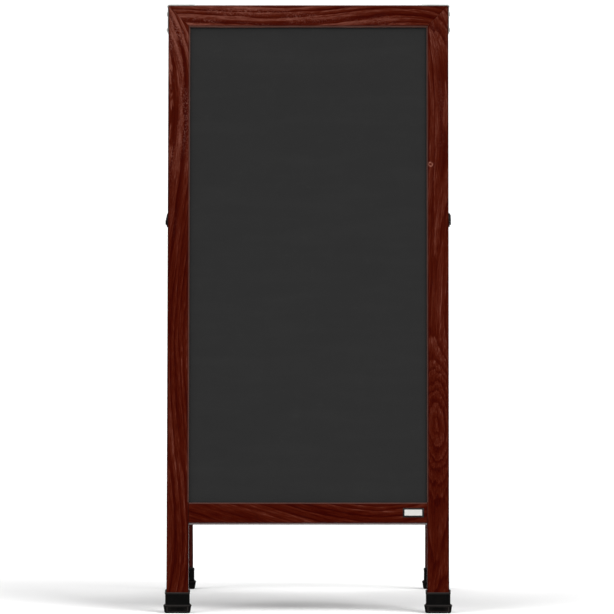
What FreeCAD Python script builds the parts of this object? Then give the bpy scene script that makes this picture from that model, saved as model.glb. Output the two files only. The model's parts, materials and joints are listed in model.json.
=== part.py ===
import FreeCAD, Part
import math
import os
import re

import Sketcher
from FreeCAD import Placement, Rotation, Vector

# Folding sandwich board: two framed chalkboards hinged along their top edges, which stand as an A
# on rubber boots and are held open by a folding brace on each side.
#
# Millimetres and degrees. The row frame has X across the board, Y from the front board to the rear
# one and Z up from the floor, with its origin on the floor between the four boots.
#
# Each frame is drawn hanging straight down from the hinge pin, which lies along X at the drawing's
# origin: the outer face of the timber looks towards -Y. The same drawing is then swung out about
# the pin to make the front frame, and turned half round as well to make the rear one.

SIZES = {
    # Overall
    "frame_width": 486,
    "frame_length": 1067,
    "frame_thickness": 19,
    "open_half_angle": 14,
    "half_gap": 4,
    # Timber
    "stile_width": 38,
    "top_rail_width": 38,
    "lower_rail_width": 36,
    "leg_length": 155,
    "opening_chamfer": 2.5,
    # Board, in three bonded layers, and the groove that holds it
    "front_lip": 5,
    "writing_thickness": 0.8,
    "core_thickness": 5,
    "backing_thickness": 1,
    "groove_depth": 8,
    "groove_slack": 0.2,
    "edge_clearance": 1,
    # Dowels
    "rail_dowel_radius": 4,
    "rail_dowel_length": 30,
    "mitre_dowel_radius": 3,
    "mitre_dowel_length": 28,
    "dowel_clearance": 0.05,
    "dowel_end_room": 0.5,
    # Rubber boots
    "boot_wall": 2,
    "boot_clearance": 0.1,
    "boot_front_height": 36,
    "boot_back_height": 40,
    "sole_thickness": 9,
    "foot_height": 14,
    "foot_reach": 3,
    "foot_back_reach": 1,
    "foot_taper": 2,
    "foot_recess_width": 34,
    "foot_recess_height": 7,
    "foot_recess_depth": 1,
    # Corner hinges
    "barrel_radius": 3.5,
    "pin_radius": 1.75,
    "pin_head_radius": 2.8,
    "pin_head_height": 1,
    "running_clearance": 0.05,
    "leaf_thickness": 1.5,
    "leaf_top_length": 48,
    "leaf_side_length": 47,
    "leaf_inset": 1,
    "leaf_relief": 0.4,
    "outer_knuckle": 18.5,
    "middle_knuckle": 18.5,
    "knuckle_clearance": 0.5,
    # Wood screws through the hinges
    "screw_radius": 1.75,
    "screw_length": 12,
    "screw_head_radius": 3.3,
    "screw_tip_radius": 2.1,
    "screw_head_height": 1.8,
    "pilot_clearance": 0.05,
    "near_top_screw": 17,
    "far_top_screw": 40,
    "near_side_screw": 13.5,
    "far_side_screw": 42,
    # Folding braces
    "brace_drop": 386,
    "link_width": 16,
    "link_thickness": 1.5,
    "plate_gap": 0.3,
    "tab_length": 36,
    "lip_length": 14,
    "lip_setback": 8,
    "lip_thickness": 1.5,
    "shoulder_radius": 2.5,
    "brace_shank_radius": 1.9,
    "brace_shank_length": 14,
    "brace_head_radius": 5,
    "brace_head_height": 2,
    "spacer_radius": 6.5,
    "rivet_radius": 2.5,
    "rivet_head_radius": 4.5,
    "rivet_head_height": 1.6,
    # Push-in bumpers that keep the folded frames apart
    "bumper_radius": 4.5,
    "bumper_room": 0.5,
    "bumper_drop": 6,
    "bumper_edge": 6,
    "bumper_stem_radius": 2.5,
    "bumper_stem_length": 6,
    # Blank badge
    "badge_width": 36,
    "badge_height": 16,
    "badge_thickness": 0.6,
    "badge_edge": 23.5,
}

# Places worked out from the sizes, in the drawing of one frame unless the comment says otherwise.
PLACES = {
    "side_face": "frame_width / 2",
    "inner_edge": "frame_width / 2 - stile_width",
    "outer_face": "-half_gap - frame_thickness",
    "inner_face": "-half_gap",
    "middle_depth": "-half_gap - frame_thickness / 2",
    "top_face": "-barrel_radius",
    "sole_centre": "-barrel_radius - frame_length",
    "opening_top": "-barrel_radius - top_rail_width",
    "rail_bottom": "-barrel_radius - frame_length + leg_length",
    "opening_bottom": "-barrel_radius - frame_length + leg_length + lower_rail_width",
    "solid_rail": "lower_rail_width - groove_depth",
    "leg_end": "-barrel_radius - frame_length + sole_thickness",
    "groove_front": "-half_gap - frame_thickness + front_lip",
    "groove_width": "writing_thickness + core_thickness + backing_thickness + groove_slack",
    "boot_front": "-half_gap - frame_thickness - boot_wall",
    "boot_back": "-half_gap + boot_wall",
    "boot_half_depth": "(frame_thickness / 2 + boot_wall) / cos(open_half_angle)",
    "foot_lean": "foot_height * tan(open_half_angle)",
    "leaf_top": "-barrel_radius + leaf_thickness",
    "leaf_end": "frame_width / 2 + leaf_thickness",
    "front_plate": "frame_width / 2 + plate_gap",
    "rear_plate": "frame_width / 2 + 2 * plate_gap + link_thickness",
    # Row frame: the hinge pin above the floor, and the brace pivots and knuckle when open
    "hinge_height": "(barrel_radius + frame_length) * cos(open_half_angle)"
                    " - (half_gap + frame_thickness / 2) * sin(open_half_angle)",
    "half_spread": "brace_drop * sin(open_half_angle)"
                   " + (half_gap + frame_thickness / 2) * cos(open_half_angle)",
    "brace_below_pin": "brace_drop * cos(open_half_angle)"
                       " - (half_gap + frame_thickness / 2) * sin(open_half_angle)",
}

document = FreeCAD.newDocument("SandwichBoard")
subparts = []


# ---- The size sheet and the ways that pieces read it ----

def qualify(match):
    """Puts the name of the object that holds a size or a place in front of it."""
    word = match.group()
    if word in SIZES:
        return f"Sizes.{word}"
    if word in PLACES:
        return f"Layout.{word}"
    return word


def bind(target, prop, formula):
    """Ties a property of an object to a formula of named sizes and places."""
    target.setExpression(prop, re.sub(r"[a-z]+(_[a-z]+)*", qualify, formula))


def make_sheet():
    """The spreadsheet of driving sizes, one cell to each, with the size's name as its alias."""
    sheet = document.addObject("Spreadsheet::Sheet", "Sizes")
    for row, (name, size) in enumerate(SIZES.items(), start=1):
        sheet.set(f"A{row}", str(size))
        sheet.setAlias(f"A{row}", name)
    document.recompute()


def make_layout():
    """The set of places that follow from the sizes."""
    layout = document.addObject("App::VarSet", "Layout")
    for name, formula in PLACES.items():
        layout.addProperty("App::PropertyFloat", name)
        bind(layout, name, formula)
    document.recompute()
    return layout


def handed(span, hand):
    """A range of X on the right (hand 1), or the same range mirrored to the left (hand -1)."""
    low, high = span
    if hand > 0:
        return low, high
    return f"-({high})", f"-({low})"


def locate(target, x, y, z):
    """Ties the three coordinates of an object's place to formulas."""
    for letter, formula in zip("xyz", (x, y, z)):
        bind(target, f"Placement.Base.{letter}", formula)


def box(name, x, y, z, hand=1):
    """A block between two formulas on each axis."""
    x = handed(x, hand)
    block = document.addObject("Part::Box", name)
    for prop, (low, high) in zip(("Length", "Width", "Height"), (x, y, z)):
        bind(block, prop, f"({high}) - ({low})")
    locate(block, x[0], y[0], z[0])
    return block


def rod(name, radius, x, y, z, hand=1, tip_radius=None):
    """A round bar from low X to high X about a line at y, z; tip_radius makes it a cone."""
    low, high = x
    if tip_radius is None:
        bar = document.addObject("Part::Cylinder", name)
        bind(bar, "Radius", radius)
    else:
        bar = document.addObject("Part::Cone", name)
        bind(bar, "Radius1", radius)
        bind(bar, "Radius2", tip_radius)
    bar.Placement = Placement(Vector(), Rotation(Vector(0, 1, 0), 90 * hand))
    bind(bar, "Height", f"({high}) - ({low})")
    locate(bar, f"{hand} * ({low})", y, z)
    return bar


def peg(name, radius, length, spot, direction):
    """A round bar from a spot along a direction, which is a turn of the Z axis."""
    bar = document.addObject("Part::Cylinder", name)
    bind(bar, "Radius", radius)
    bind(bar, "Height", length)
    bar.Placement = Placement(Vector(), direction)
    locate(bar, *spot)
    return bar


def prism(name, plane, corners, start, length):
    """A padded sketch: straight edges between corners on one of the origin planes.

    start and length run along the plane's normal: +Z for XY, -Y for XZ and +X for YZ."""
    body = document.addObject("PartDesign::Body", name)
    support = [f for f in body.Origin.OriginFeatures if f.Role == f"{plane}_Plane"][0]
    sketch = body.newObject("Sketcher::SketchObject", f"{name}_outline")
    sketch.AttachmentSupport = [(support, "")]
    sketch.MapMode = "FlatFace"
    bind(sketch, "AttachmentOffset.Base.z", start)
    turns = [2 * math.pi * i / len(corners) for i in range(len(corners))]
    spots = [Vector(math.cos(turn), math.sin(turn), 0) for turn in turns]
    for i, spot in enumerate(spots):
        sketch.addGeometry(Part.LineSegment(spot, spots[(i + 1) % len(spots)]))
    for i in range(len(spots)):
        sketch.addConstraint(Sketcher.Constraint("Coincident", i, 2, (i + 1) % len(spots), 1))
    for i, (spot, corner) in enumerate(zip(spots, corners)):
        for kind, now, formula in zip(("DistanceX", "DistanceY"), (spot.x, spot.y), corner):
            number = sketch.addConstraint(Sketcher.Constraint(kind, -1, 1, i, 1, now))
            bind(sketch, f"Constraints[{number}]", formula)
    pad = body.newObject("PartDesign::Pad", f"{name}_pad")
    pad.Profile = sketch
    bind(pad, "Length", length)
    return body


def joined(name, pieces):
    """One solid from pieces that overlap or meet."""
    union = document.addObject("Part::MultiFuse", name)
    union.Shapes = pieces
    return union


def cut(name, base, tools):
    """A piece with one or more tools taken out of it."""
    result = document.addObject("Part::Cut", name)
    result.Base = base
    result.Tool = tools[0] if len(tools) == 1 else joined(f"{name}_tools", tools)
    return result


def group(name, pieces):
    """Loose like pieces that share one node."""
    compound = document.addObject("Part::Compound", name)
    compound.Links = pieces
    return compound


# ---- Where finished pieces go ----

SIDES = (("left", -1), ("right", 1))

# The rear frame's drawing is turned half round, so what is drawn on its right ends up on the left.
YAW = {"front": 0, "rear": 180}
TURN = {"front": 1, "rear": -1}


def on_frame(piece, node, frame):
    """Names a finished piece and swings it out from the hinge pin with its frame."""
    piece.Label = node
    bind(piece, "Placement",
         "placement(vector(0; 0; hinge_height);"
         f" rotation(vector(0; 0; 1); {YAW[frame]})"
         " * rotation(vector(1; 0; 0); -open_half_angle))")
    subparts.append(piece)


def at_brace(piece, node):
    """Names a finished piece of a brace and lifts it to the height of the straight brace."""
    piece.Label = node
    locate(piece, "0", "0", "hinge_height - brace_below_pin")
    subparts.append(piece)


# ---- Holes that fasteners and dowels take in the timber ----

UP = Rotation()
DOWN = Rotation(Vector(1, 0, 0), 180)
OUTWARD = {1: Rotation(Vector(0, 1, 0), 90), -1: Rotation(Vector(0, 1, 0), -90)}
INWARD = {1: Rotation(Vector(0, 1, 0), -90), -1: Rotation(Vector(0, 1, 0), 90)}
BACKWARD = Rotation(Vector(1, 0, 0), -90)
FORWARD = Rotation(Vector(1, 0, 0), 90)


def top_screw_spots(hand):
    """Under the heads of the two screws on a hinge's top arm."""
    return [(f"{hand} * (side_face - {place})", "middle_depth", "leaf_top")
            for place in ("near_top_screw", "far_top_screw")]


def side_screw_spots(hand):
    """Under the heads of the two screws on a hinge's side arm."""
    return [(f"{hand} * leaf_end", "middle_depth", f"top_face - {place}")
            for place in ("near_side_screw", "far_side_screw")]


def pilots(name, spots, direction):
    """The holes for hinge screws, through leaf and timber."""
    return [peg(f"{name}_pilot_{i}", "screw_radius + pilot_clearance",
                "screw_length + dowel_end_room", spot, direction)
            for i, spot in enumerate(spots)]


def corner_pilots(name, hand):
    """All four holes of a hinge, drilled after the mitre is glued, so through whatever they meet."""
    return (pilots(f"{name}_top", top_screw_spots(hand), DOWN)
            + pilots(f"{name}_side", side_screw_spots(hand), INWARD[hand]))


def mitre_bar(name, hand, radius, length):
    """A round bar square to the mitre, through the middle of the corner joint."""
    reach = f"({length}) / 2 / sqrt(2)"
    spot = (f"{hand} * (side_face - stile_width / 2 - {reach})",
            "middle_depth",
            f"top_face - top_rail_width / 2 + {reach}")
    return peg(name, radius, length, spot, Rotation(Vector(0, 1, 0), 135 * hand))


def mitre_dowel(name, hand):
    """The dowel of a corner joint."""
    return mitre_bar(name, hand, "mitre_dowel_radius", "mitre_dowel_length")


def mitre_hole(name, hand):
    """The hole for that dowel, a little wider and longer."""
    return mitre_bar(name, hand, "mitre_dowel_radius + dowel_clearance",
                     "mitre_dowel_length + 2 * dowel_end_room")


def rail_bars(name, hand, radius, length):
    """Two round bars along X between the lower rail and a stile, at the quarters of its solid part."""
    half = f"({length}) / 2"
    return [rod(f"{name}_{quarter}", radius, (f"inner_edge - {half}", f"inner_edge + {half}"),
                "middle_depth", f"rail_bottom + {quarter} * solid_rail / 4", hand)
            for quarter in (1, 3)]


def rail_dowels(name, hand):
    """The two dowels of a joint between the lower rail and a stile."""
    return rail_bars(name, hand, "rail_dowel_radius", "rail_dowel_length")


def rail_holes(name, hand):
    """The holes for those dowels, a little wider and longer."""
    return rail_bars(name, hand, "rail_dowel_radius + dowel_clearance",
                     "rail_dowel_length + 2 * dowel_end_room")


def bumper_spot(hand):
    """Where a bumper's stem enters the inner face of a stile, just under the lower rail."""
    return f"{hand} * (inner_edge + bumper_edge)", "inner_face", "rail_bottom - bumper_drop"


# ---- Timber ----

def make_stile(frame, side, hand):
    """A stile runs from the mitred top corner to the boot, grooved beside the opening."""
    name = f"{frame}_{side}_stile"
    blank = prism(f"{name}_blank", "XZ",
                  [(f"{hand} * side_face", "top_face"),
                   (f"{hand} * side_face", "leg_end"),
                   (f"{hand} * inner_edge", "leg_end"),
                   (f"{hand} * inner_edge", "opening_top")],
                  "half_gap", "frame_thickness")
    groove = box(f"{name}_groove",
                 ("inner_edge - edge_clearance", "inner_edge + groove_depth"),
                 ("groove_front", "groove_front + groove_width"),
                 ("opening_bottom - groove_depth", "opening_top + groove_depth"), hand)
    bevel = prism(f"{name}_bevel", "XY",
                  [(f"{hand} * inner_edge", "outer_face"),
                   (f"{hand} * (inner_edge + opening_chamfer)", "outer_face"),
                   (f"{hand} * inner_edge", "outer_face + opening_chamfer")],
                  "opening_bottom", "opening_top + opening_chamfer - opening_bottom")
    tools = [groove, bevel, mitre_hole(f"{name}_mitre_hole", hand)]
    tools += rail_holes(f"{name}_rail_hole", hand)
    tools += corner_pilots(name, hand)
    tools.append(rod(f"{name}_brace_pilot", "brace_shank_radius + pilot_clearance",
                     ("side_face - brace_shank_length - dowel_end_room", "side_face"),
                     "middle_depth", "-brace_drop", hand))
    if frame == "rear":
        tools.append(peg(f"{name}_bumper_hole", "bumper_stem_radius + pilot_clearance",
                         "bumper_stem_length + dowel_end_room", bumper_spot(hand), FORWARD))
    on_frame(cut(name, blank, tools), name, frame)


def make_top_rail(frame):
    """The top rail is mitred into both stiles and grooved along its lower edge."""
    name = f"{frame}_top_rail"
    blank = prism(f"{name}_blank", "XZ",
                  [("-side_face", "top_face"),
                   ("side_face", "top_face"),
                   ("inner_edge", "opening_top"),
                   ("-inner_edge", "opening_top")],
                  "half_gap", "frame_thickness")
    groove = box(f"{name}_groove",
                 ("-inner_edge - groove_depth", "inner_edge + groove_depth"),
                 ("groove_front", "groove_front + groove_width"),
                 ("opening_top - edge_clearance", "opening_top + groove_depth"))
    bevel = prism(f"{name}_bevel", "YZ",
                  [("outer_face", "opening_top"),
                   ("outer_face", "opening_top + opening_chamfer"),
                   ("outer_face + opening_chamfer", "opening_top")],
                  "-inner_edge - opening_chamfer", "2 * (inner_edge + opening_chamfer)")
    tools = [groove, bevel]
    for side, hand in SIDES:
        tools.append(mitre_hole(f"{name}_{side}_mitre_hole", hand))
        tools += corner_pilots(f"{name}_{side}", hand)
    on_frame(cut(name, blank, tools), name, frame)


def make_lower_rail(frame):
    """The lower rail butts between the stiles and carries the board in its top edge."""
    name = f"{frame}_lower_rail"
    blank = box(f"{name}_blank", ("-inner_edge", "inner_edge"),
                ("outer_face", "inner_face"), ("rail_bottom", "opening_bottom"))
    groove = box(f"{name}_groove",
                 ("-inner_edge - edge_clearance", "inner_edge + edge_clearance"),
                 ("groove_front", "groove_front + groove_width"),
                 ("opening_bottom - groove_depth", "opening_bottom + edge_clearance"))
    bevel = prism(f"{name}_bevel", "YZ",
                  [("outer_face", "opening_bottom"),
                   ("outer_face", "opening_bottom - opening_chamfer"),
                   ("outer_face + opening_chamfer", "opening_bottom")],
                  "-inner_edge", "2 * inner_edge")
    tools = [groove, bevel]
    for side, hand in SIDES:
        tools += rail_holes(f"{name}_{side}_hole", hand)
    on_frame(cut(name, blank, tools), name, frame)


def make_dowels(frame):
    """Dowels pin the two mitres and both ends of the lower rail."""
    mitres = [mitre_dowel(f"{frame}_{side}_mitre_dowel", hand) for side, hand in SIDES]
    on_frame(group(f"{frame}_mitre_dowels", mitres), f"{frame}_mitre_dowels", frame)
    pegs = []
    for side, hand in SIDES:
        pegs += rail_dowels(f"{frame}_{side}_rail_dowel", hand)
    on_frame(group(f"{frame}_rail_dowels", pegs), f"{frame}_rail_dowels", frame)


# ---- Board ----

def make_board(frame):
    """The board is a writing sheet on a stiff core with a backing sheet, all held in the groove."""
    layers = (("writing_surface", "writing_thickness"),
              ("board_core", "core_thickness"),
              ("board_backing", "backing_thickness"))
    front = "groove_front + groove_slack / 2"
    margin = "groove_depth - edge_clearance"
    for layer, thickness in layers:
        name = f"{frame}_{layer}"
        sheet = box(f"{name}_blank", (f"-inner_edge - ({margin})", f"inner_edge + ({margin})"),
                    (front, f"{front} + {thickness}"),
                    (f"opening_bottom - ({margin})", f"opening_top + ({margin})"))
        on_frame(group(name, [sheet]), name, frame)
        front = f"{front} + {thickness}"


# ---- Rubber boots ----

def sole_level(depth):
    """Height of the sole under a given depth: level with the floor when the board stands open."""
    return f"(sole_centre + ({depth} - middle_depth) * tan(open_half_angle))"


def make_boot(frame, side, hand):
    """A boot is a cup on the leg with a wider foot, whose sole is cut level for the open board."""
    name = f"{frame}_{side}_boot"
    start, end = handed(("inner_edge - boot_wall", "side_face + boot_wall"), hand)
    cup = prism(f"{name}_cup", "YZ",
                [("boot_front", sole_level("boot_front")),
                 ("boot_back", sole_level("boot_back")),
                 ("boot_back", sole_level("boot_back") + " + boot_back_height"),
                 ("boot_front", sole_level("boot_front") + " + boot_front_height")],
                start, f"({end}) - ({start})")
    foot = document.addObject("Part::Wedge", f"{name}_foot")
    tilt = Placement(Vector(), Rotation(Vector(1, 0, 0), 90 + SIZES["open_half_angle"]))
    foot.Placement = tilt
    bind(foot, "Placement.Rotation.Angle", "90 + open_half_angle")
    low, high = handed(("inner_edge - boot_wall - foot_reach", "side_face + boot_wall + foot_reach"),
                       hand)
    wedge = {"Xmin": f"{low} + foot_taper", "Xmax": f"{high} - foot_taper",
             "X2min": low, "X2max": high,
             "Ymin": "0", "Ymax": "foot_height",
             "Zmin": "-boot_half_depth - foot_back_reach",
             "Zmax": "boot_half_depth + foot_reach - foot_taper",
             "Z2min": "-boot_half_depth - foot_lean - foot_back_reach",
             "Z2max": "boot_half_depth - foot_lean + foot_reach"}
    for prop, formula in wedge.items():
        bind(foot, prop, formula)
    locate(foot, "0", "middle_depth", "sole_centre")
    pocket = box(f"{name}_pocket",
                 ("inner_edge - boot_clearance", "side_face + boot_clearance"),
                 ("outer_face - boot_clearance", "inner_face + boot_clearance"),
                 ("leg_end - boot_clearance", "leg_end + boot_back_height"), hand)
    recess = document.addObject("Part::Box", f"{name}_recess")
    recess.Placement = tilt
    bind(recess, "Placement.Rotation.Angle", "90 + open_half_angle")
    bind(recess, "Length", "foot_recess_width")
    bind(recess, "Width", "foot_recess_height")
    bind(recess, "Height", "foot_reach + foot_recess_depth")
    middle = f"{hand} * (side_face - stile_width / 2)"
    up = "(foot_height - foot_recess_height) / 2"
    out = "(boot_half_depth - foot_lean / 2 + foot_reach - foot_taper / 2 - foot_recess_depth)"
    locate(recess, f"{middle} - foot_recess_width / 2",
           f"middle_depth - {up} * sin(open_half_angle) - {out} * cos(open_half_angle)",
           f"sole_centre + {up} * cos(open_half_angle) - {out} * sin(open_half_angle)")
    on_frame(cut(name, joined(f"{name}_rubber", [cup, foot]), [pocket, recess]), name, frame)


# ---- Corner hinges ----

def knuckle_spans(frame):
    """The stretches of barrel that a leaf carries: the ends on the front leaf, the middle behind."""
    middle_end = "leaf_end - outer_knuckle - knuckle_clearance"
    middle_start = f"{middle_end} - middle_knuckle"
    if frame == "rear":
        return [(middle_start, middle_end)]
    return [("leaf_end - outer_knuckle", "leaf_end"),
            ("leaf_end - leaf_top_length", f"{middle_start} - knuckle_clearance")]


def make_leaf(frame, side, hand):
    """A leaf is a strip bent over the corner, its inner edge rolled into knuckles round the pin."""
    name = f"{frame}_{side}_hinge_leaf"
    depth = ("outer_face + leaf_inset", "-barrel_radius - leaf_relief")
    pieces = [box(f"{name}_top", ("leaf_end - leaf_top_length", "leaf_end"), depth,
                  ("top_face", "leaf_top"), hand),
              box(f"{name}_side", ("side_face", "leaf_end"), depth,
                  ("top_face - leaf_side_length", "leaf_top"), hand)]
    for i, span in enumerate(knuckle_spans(frame)):
        pieces.append(box(f"{name}_web_{i}", span, (depth[1], "0"), ("top_face", "leaf_top"), hand))
        pieces.append(rod(f"{name}_knuckle_{i}", "barrel_radius", span, "0", "0", hand))
    bore = rod(f"{name}_bore", "pin_radius + running_clearance",
               ("leaf_end - leaf_top_length - pin_head_height", "leaf_end + pin_head_height"),
               "0", "0", hand)
    tools = [bore] + corner_pilots(name, hand)
    on_frame(cut(name, joined(f"{name}_plate", pieces), tools), name, frame)


def make_hinge_pin(side, hand):
    """The pin has a head at each end, so that it stays in the knuckles."""
    name = f"{side}_hinge_pin"
    start = "leaf_end - leaf_top_length"
    shaft = rod(f"{name}_shaft", "pin_radius", (start, "leaf_end"), "0", "0", hand)
    heads = [rod(f"{name}_inner_head", "pin_head_radius", (f"{start} - pin_head_height", start),
                 "0", "0", hand),
             rod(f"{name}_outer_head", "pin_head_radius", ("leaf_end", "leaf_end + pin_head_height"),
                 "0", "0", hand)]
    on_frame(joined(name, [shaft] + heads), name, "front")


def hinge_screw(name, spot, outward, inward):
    """A pan-head wood screw, its shank going in from the spot and its head standing out from it."""
    shank = peg(f"{name}_shank", "screw_radius", "screw_length", spot, inward)
    head = document.addObject("Part::Cone", f"{name}_head")
    bind(head, "Radius1", "screw_head_radius")
    bind(head, "Radius2", "screw_tip_radius")
    bind(head, "Height", "screw_head_height")
    head.Placement = Placement(Vector(), outward)
    locate(head, *spot)
    return joined(name, [shank, head])


def make_hinge_screws(frame):
    """Four screws hold each leaf: two down into the top rail and two in from the side."""
    screws = []
    for side, hand in SIDES:
        name = f"{frame}_{side}_hinge_screw"
        for i, spot in enumerate(top_screw_spots(hand)):
            screws.append(hinge_screw(f"{name}_top_{i}", spot, UP, DOWN))
        for i, spot in enumerate(side_screw_spots(hand)):
            screws.append(hinge_screw(f"{name}_side_{i}", spot, OUTWARD[hand], INWARD[hand]))
    on_frame(group(f"{frame}_hinge_screws", screws), f"{frame}_hinge_screws", frame)


# ---- Folding braces ----

def brace_screw(name, hand, shoulder_end):
    """A shoulder screw in the side of a stile, long enough in the shoulder for its link to turn."""
    shank = rod(f"{name}_shank", "brace_shank_radius", ("side_face - brace_shank_length", "side_face"),
                "middle_depth", "-brace_drop", hand)
    shoulder = rod(f"{name}_shoulder", "shoulder_radius", ("side_face", shoulder_end),
                   "middle_depth", "-brace_drop", hand)
    head = rod(f"{name}_head", "brace_head_radius",
               (shoulder_end, f"{shoulder_end} + brace_head_height"),
               "middle_depth", "-brace_drop", hand)
    return joined(name, [shank, shoulder, head])


def make_brace_fixings():
    """The front links turn against the stiles; the rear ones stand further out on spacers."""
    ends = {"front": "front_plate + link_thickness + plate_gap",
            "rear": "rear_plate + link_thickness + plate_gap"}
    for frame, end in ends.items():
        screws = [brace_screw(f"{frame}_{side}_brace_screw", hand, end) for side, hand in SIDES]
        on_frame(group(f"{frame}_brace_screws", screws), f"{frame}_brace_screws", frame)
    spacers = []
    for side, hand in SIDES:
        name = f"{side}_brace_spacer"
        span = ("side_face", "rear_plate - plate_gap")
        ring = rod(f"{name}_disc", "spacer_radius", span, "middle_depth", "-brace_drop", hand)
        hole = rod(f"{name}_hole", "shoulder_radius + running_clearance", span,
                   "middle_depth", "-brace_drop", hand)
        spacers.append(cut(name, ring, [hole]))
    on_frame(group("rear_brace_spacers", spacers), "rear_brace_spacers", "rear")


def link_plate(name, hand, plate, low, high):
    """A flat bar with round ends centred at two places along Y."""
    span = (plate, f"{plate} + link_thickness")
    return [box(f"{name}_bar", span, (low, high), ("-link_width / 2", "link_width / 2"), hand),
            rod(f"{name}_low_end", "link_width / 2", span, low, "0", hand),
            rod(f"{name}_high_end", "link_width / 2", span, high, "0", hand)]


def link_holes(name, hand, plate, pivot):
    """The hole for the shoulder screw and the one for the knuckle rivet."""
    span = (plate, f"{plate} + link_thickness")
    return [rod(f"{name}_pivot_hole", "shoulder_radius + running_clearance", span, pivot, "0", hand),
            rod(f"{name}_knuckle_hole", "rivet_radius + running_clearance", span, "0", "0", hand)]


def make_front_link(side, hand):
    """The front link runs on past the knuckle to a tab, whose lip stops the brace when straight."""
    name = f"{side}_front_link"
    pieces = link_plate(name, hand, "front_plate", "-half_spread", "tab_length - link_width / 2")
    lip_y = ("tab_length - lip_setback - lip_length", "tab_length - lip_setback")
    lip_top = "link_width / 2 + plate_gap + lip_thickness"
    pieces.append(box(f"{name}_riser", ("front_plate", "front_plate + link_thickness"), lip_y,
                      ("0", lip_top), hand))
    pieces.append(box(f"{name}_lip", ("front_plate", "rear_plate + link_thickness"), lip_y,
                      ("link_width / 2 + plate_gap", lip_top), hand))
    plate = joined(f"{name}_plate", pieces)
    at_brace(cut(name, plate, link_holes(name, hand, "front_plate", "-half_spread")), name)


def make_rear_link(side, hand):
    """The rear link is a plain bar outside the front one."""
    name = f"{side}_rear_link"
    plate = joined(f"{name}_plate", link_plate(name, hand, "rear_plate", "0", "half_spread"))
    at_brace(cut(name, plate, link_holes(name, hand, "rear_plate", "half_spread")), name)


def make_knuckle(side, hand):
    """The knuckle rivet, parted between the links: a flush shank in front and a headed one behind."""
    flush = rod(f"{side}_front_rivet_shank", "rivet_radius",
                ("front_plate", "front_plate + link_thickness"), "0", "0", hand)
    at_brace(group(f"{side}_front_rivet", [flush]), f"{side}_front_rivet")
    face = "rear_plate + link_thickness"
    shank = rod(f"{side}_rear_rivet_shank", "rivet_radius", ("rear_plate", face), "0", "0", hand)
    head = rod(f"{side}_rear_rivet_head", "rivet_head_radius", (face, f"{face} + rivet_head_height"),
               "0", "0", hand, tip_radius="rivet_radius")
    at_brace(joined(f"{side}_rear_rivet", [shank, head]), f"{side}_rear_rivet")


# ---- Bumpers and badge ----

def make_bumpers():
    """Two push-in rubber buttons on the rear frame meet the front frame when the board is folded."""
    buttons = []
    for side, hand in SIDES:
        spot = bumper_spot(hand)
        head = peg(f"{side}_bumper_head", "bumper_radius", "2 * half_gap - bumper_room", spot,
                   BACKWARD)
        stem = peg(f"{side}_bumper_stem", "bumper_stem_radius", "bumper_stem_length", spot, FORWARD)
        buttons.append(joined(f"{side}_bumper", [head, stem]))
    on_frame(group("bumpers", buttons), "bumpers", "rear")


def make_badge():
    """A blank badge stuck to the front of the lower rail, near its right end."""
    middle = "inner_edge - badge_edge"
    height = "(rail_bottom + lower_rail_width / 2)"
    plate = box("badge_plate", (f"{middle} - badge_width / 2", f"{middle} + badge_width / 2"),
                ("outer_face - badge_thickness", "outer_face"),
                (f"{height} - badge_height / 2", f"{height} + badge_height / 2"))
    on_frame(group("front_badge", [plate]), "front_badge", "front")


# ---- Assembly ----

def make_frame(frame):
    """One framed chalkboard with its boots, its half of the hinges and their screws."""
    for side, hand in SIDES:
        drawn_hand = hand * TURN[frame]
        make_stile(frame, side, drawn_hand)
        make_boot(frame, side, drawn_hand)
        make_leaf(frame, side, drawn_hand)
    make_top_rail(frame)
    make_lower_rail(frame)
    make_dowels(frame)
    make_board(frame)
    make_hinge_screws(frame)


def make_side(side, hand):
    """What joins the two frames on one side: the hinge pin and the folding brace."""
    make_hinge_pin(side, hand)
    make_front_link(side, hand)
    make_rear_link(side, hand)
    make_knuckle(side, hand)


make_sheet()
layout = make_layout()
make_frame("front")
make_frame("rear")
make_side("left", -1)
make_side("right", 1)
make_brace_fixings()
make_bumpers()
make_badge()
document.recompute()

failed = [o.Name for o in document.Objects if {"Invalid", "Error"} & set(o.State)]
if failed:
    raise RuntimeError(f"these objects failed to build: {failed}")
for subpart in subparts:
    if subpart.Shape.isNull() or not subpart.Shape.isValid() or not subpart.Shape.Solids:
        raise RuntimeError(f"{subpart.Label} has no valid solid")

os.makedirs("parts", exist_ok=True)
for subpart in subparts:
    subpart.Shape.exportStep(f"parts/{subpart.Label}.step")

print(f"{len(subparts)} sub-parts; hinge pin at {layout.hinge_height:.2f},"
      f" brace pivots at {layout.half_spread:.3f} out and"
      f" {layout.hinge_height - layout.brace_below_pin:.3f} up")
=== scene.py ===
import json
import math

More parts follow.
